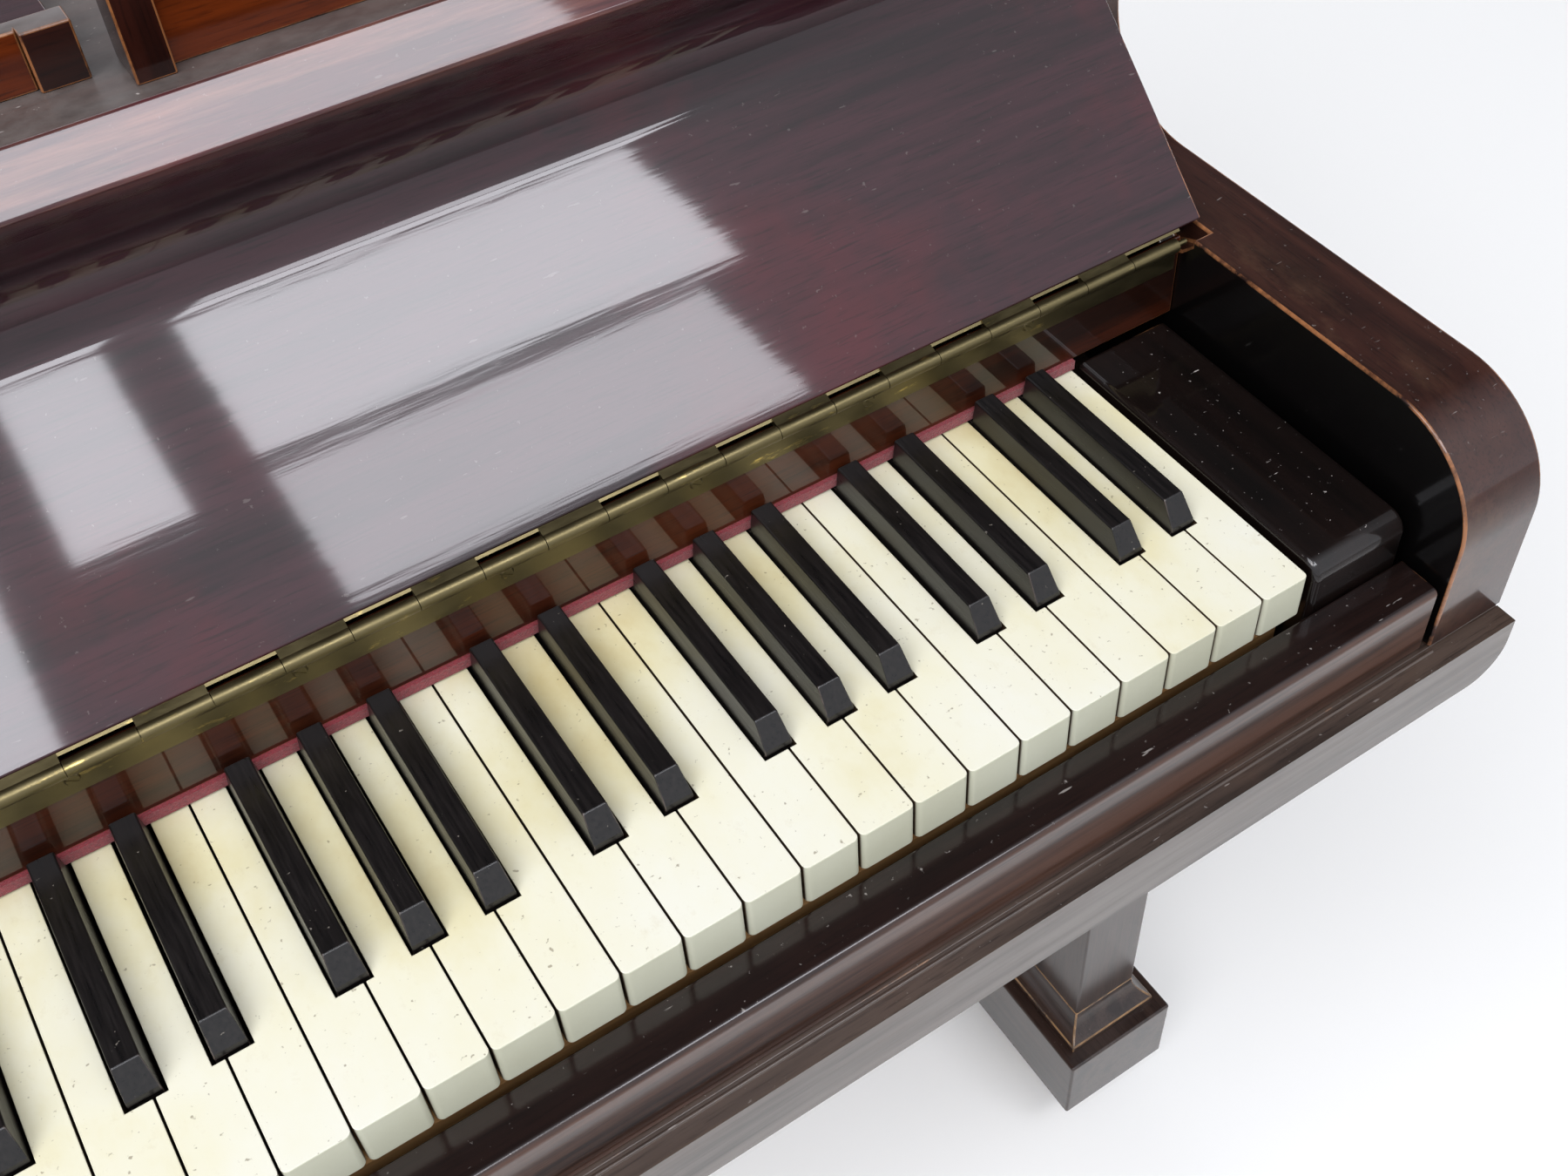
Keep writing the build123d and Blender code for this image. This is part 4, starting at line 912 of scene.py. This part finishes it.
# low x, high x, low z, high z and brightness beside white paper
WINDOW_PANES = (
    (0.6, 1.7, 2.95, 3.44, 10),
    (0.6, 1.85, 3.5, 4.12, 13),
    (0.16, 0.42, 3.4, 4.12, 13),
    (-0.9, 0.0, 2.9, 4.12, 12),
    (0.2, 2.0, 4.7, 5.25, 10),
)


def make_floor():
    mesh = bpy.data.meshes.new("floor")
    corners = [(x * FLOOR_HALF, y * FLOOR_HALF, 0) for x, y in ((-1, -1), (1, -1), (1, 1), (-1, 1))]
    mesh.from_pydata(corners, [], [(0, 1, 2, 3)])
    floor = bpy.data.objects.new("floor", mesh)
    bpy.context.scene.collection.objects.link(floor)
    material, tree, shader, _ = surface("studio_floor")
    colour = rgba(settings().floor_colour)
    join(tree, shader, {"Base Color": colour, "Roughness": 0.9, "Specular IOR Level": 0.1})
    mesh.materials.append(material)


def pane(name, x, y, z, size, facing, glow):
    """Rectangular soft light turned to face a point; glow is its brightness beside white paper."""
    light = bpy.data.lights.new(name, "AREA")
    light.shape = "RECTANGLE"
    light.size, light.size_y = size
    light.energy = glow * pi * size[0] * size[1]
    light.color = srgb("#f7f8ff")
    lamp = bpy.data.objects.new(name, light)
    lamp.location = (x, y, z)
    lamp.rotation_euler = (Vector(facing) - lamp.location).to_track_quat("-Z", "Y").to_euler()
    lamp.visible_camera = False
    bpy.context.scene.collection.objects.link(lamp)


def make_windows():
    """Window panes behind the player, which the open fall mirrors, and broad soft lights overhead."""
    for number, (low_x, high_x, low_z, high_z, glow) in enumerate(WINDOW_PANES):
        x, z = (low_x + high_x) / 2, (low_z + high_z) / 2
        size = (high_x - low_x, high_z - low_z)
        pane(f"window_{number}", x, WINDOW_DEPTH, z, size, (x, 0, z), glow)
    pane("overhead", -2.3, -1.3, 4.3, (3.0, 3.0), (0, 0, 0.6), 6.0)
    pane("behind", 1.0, 4.6, 2.2, (3.0, 1.6), (0, 0.6, 0.6), 2.0)


def make_sky():
    """Room around the piano: light in front and near the floor, dark high up behind."""
    world = bpy.data.worlds.new("studio")
    bpy.context.scene.world = world
    world.use_nodes = True
    tree = world.node_tree
    way = add(tree, "ShaderNodeTexCoord", {}, output="Generated")
    toward = add(tree, "ShaderNodeSeparateXYZ", {0: way}, output="Y")
    height = add(tree, "ShaderNodeSeparateXYZ", {0: way}, output="Z")
    reach = {"Value": toward, "From Min": 0.1, "From Max": -0.45, "To Min": 0.06, "To Max": 1.1}
    front = add(tree, "ShaderNodeMapRange", reach)
    reach = {"Value": height, "From Min": 0.5, "From Max": 0.15, "To Min": 0.06, "To Max": 1.15}
    low = add(tree, "ShaderNodeMapRange", reach)
    glow = add(tree, "ShaderNodeMath", {0: front, 1: low}, operation="MAXIMUM")
    join(tree, tree.nodes["Background"], {"Color": rgba("#eceff6"), "Strength": glow})


def make_camera():
    """Camera over the treble end of the keys, looking down and to the right."""
    camera = bpy.data.cameras.new("camera")
    camera.lens = settings().lens
    camera.sensor_width = 36.0
    camera.shift_x, camera.shift_y = CAMERA_SHIFT
    camera.clip_start = 0.02
    turn, dip, roll = CAMERA_TURN, CAMERA_DIP, CAMERA_ROLL
    forward = Vector((sin(turn) * cos(dip), cos(turn) * cos(dip), -sin(dip)))
    level = Vector((cos(turn), -sin(turn), 0))
    upright = level.cross(forward)
    right = level * cos(roll) + upright * sin(roll)
    up = upright * cos(roll) - level * sin(roll)
    holder = bpy.data.objects.new("camera", camera)
    pose = Matrix((right, up, -forward)).transposed().to_4x4()
    pose.translation = CAMERA_AT
    holder.matrix_world = pose
    bpy.context.scene.collection.objects.link(holder)
    bpy.context.scene.camera = holder


# ---------------------------------------------------------------- panel and registration
STEPS = (
    PIANO_OT_case,
    PIANO_OT_keys,
    PIANO_OT_fall,
    PIANO_OT_top,
    PIANO_OT_inside,
    PIANO_OT_legs,
    PIANO_OT_stage,
)


class PIANO_PT_panel(bpy.types.Panel):
    bl_label = "Baby grand"
    bl_idname = "PIANO_PT_panel"
    bl_space_type = "VIEW_3D"
    bl_region_type = "UI"
    bl_category = "Piano"

    def draw(self, context):
        for name in PianoSettings.__annotations__:
            self.layout.prop(context.scene.piano_settings, name)
        for step in STEPS:
            self.layout.operator(step.bl_idname)


CLASSES = (PianoSettings, *STEPS, PIANO_PT_panel)


def register():
    for one in CLASSES:
        bpy.utils.register_class(one)
    bpy.types.Scene.piano_settings = bpy.props.PointerProperty(type=PianoSettings)


def unregister():
    del bpy.types.Scene.piano_settings
    for one in reversed(CLASSES):
        bpy.utils.unregister_class(one)


def main():
    register()
    for step in STEPS:
        group, name = step.bl_idname.split(".")
        getattr(getattr(bpy.ops, group), name)()


if __name__ == "__main__":
    main()
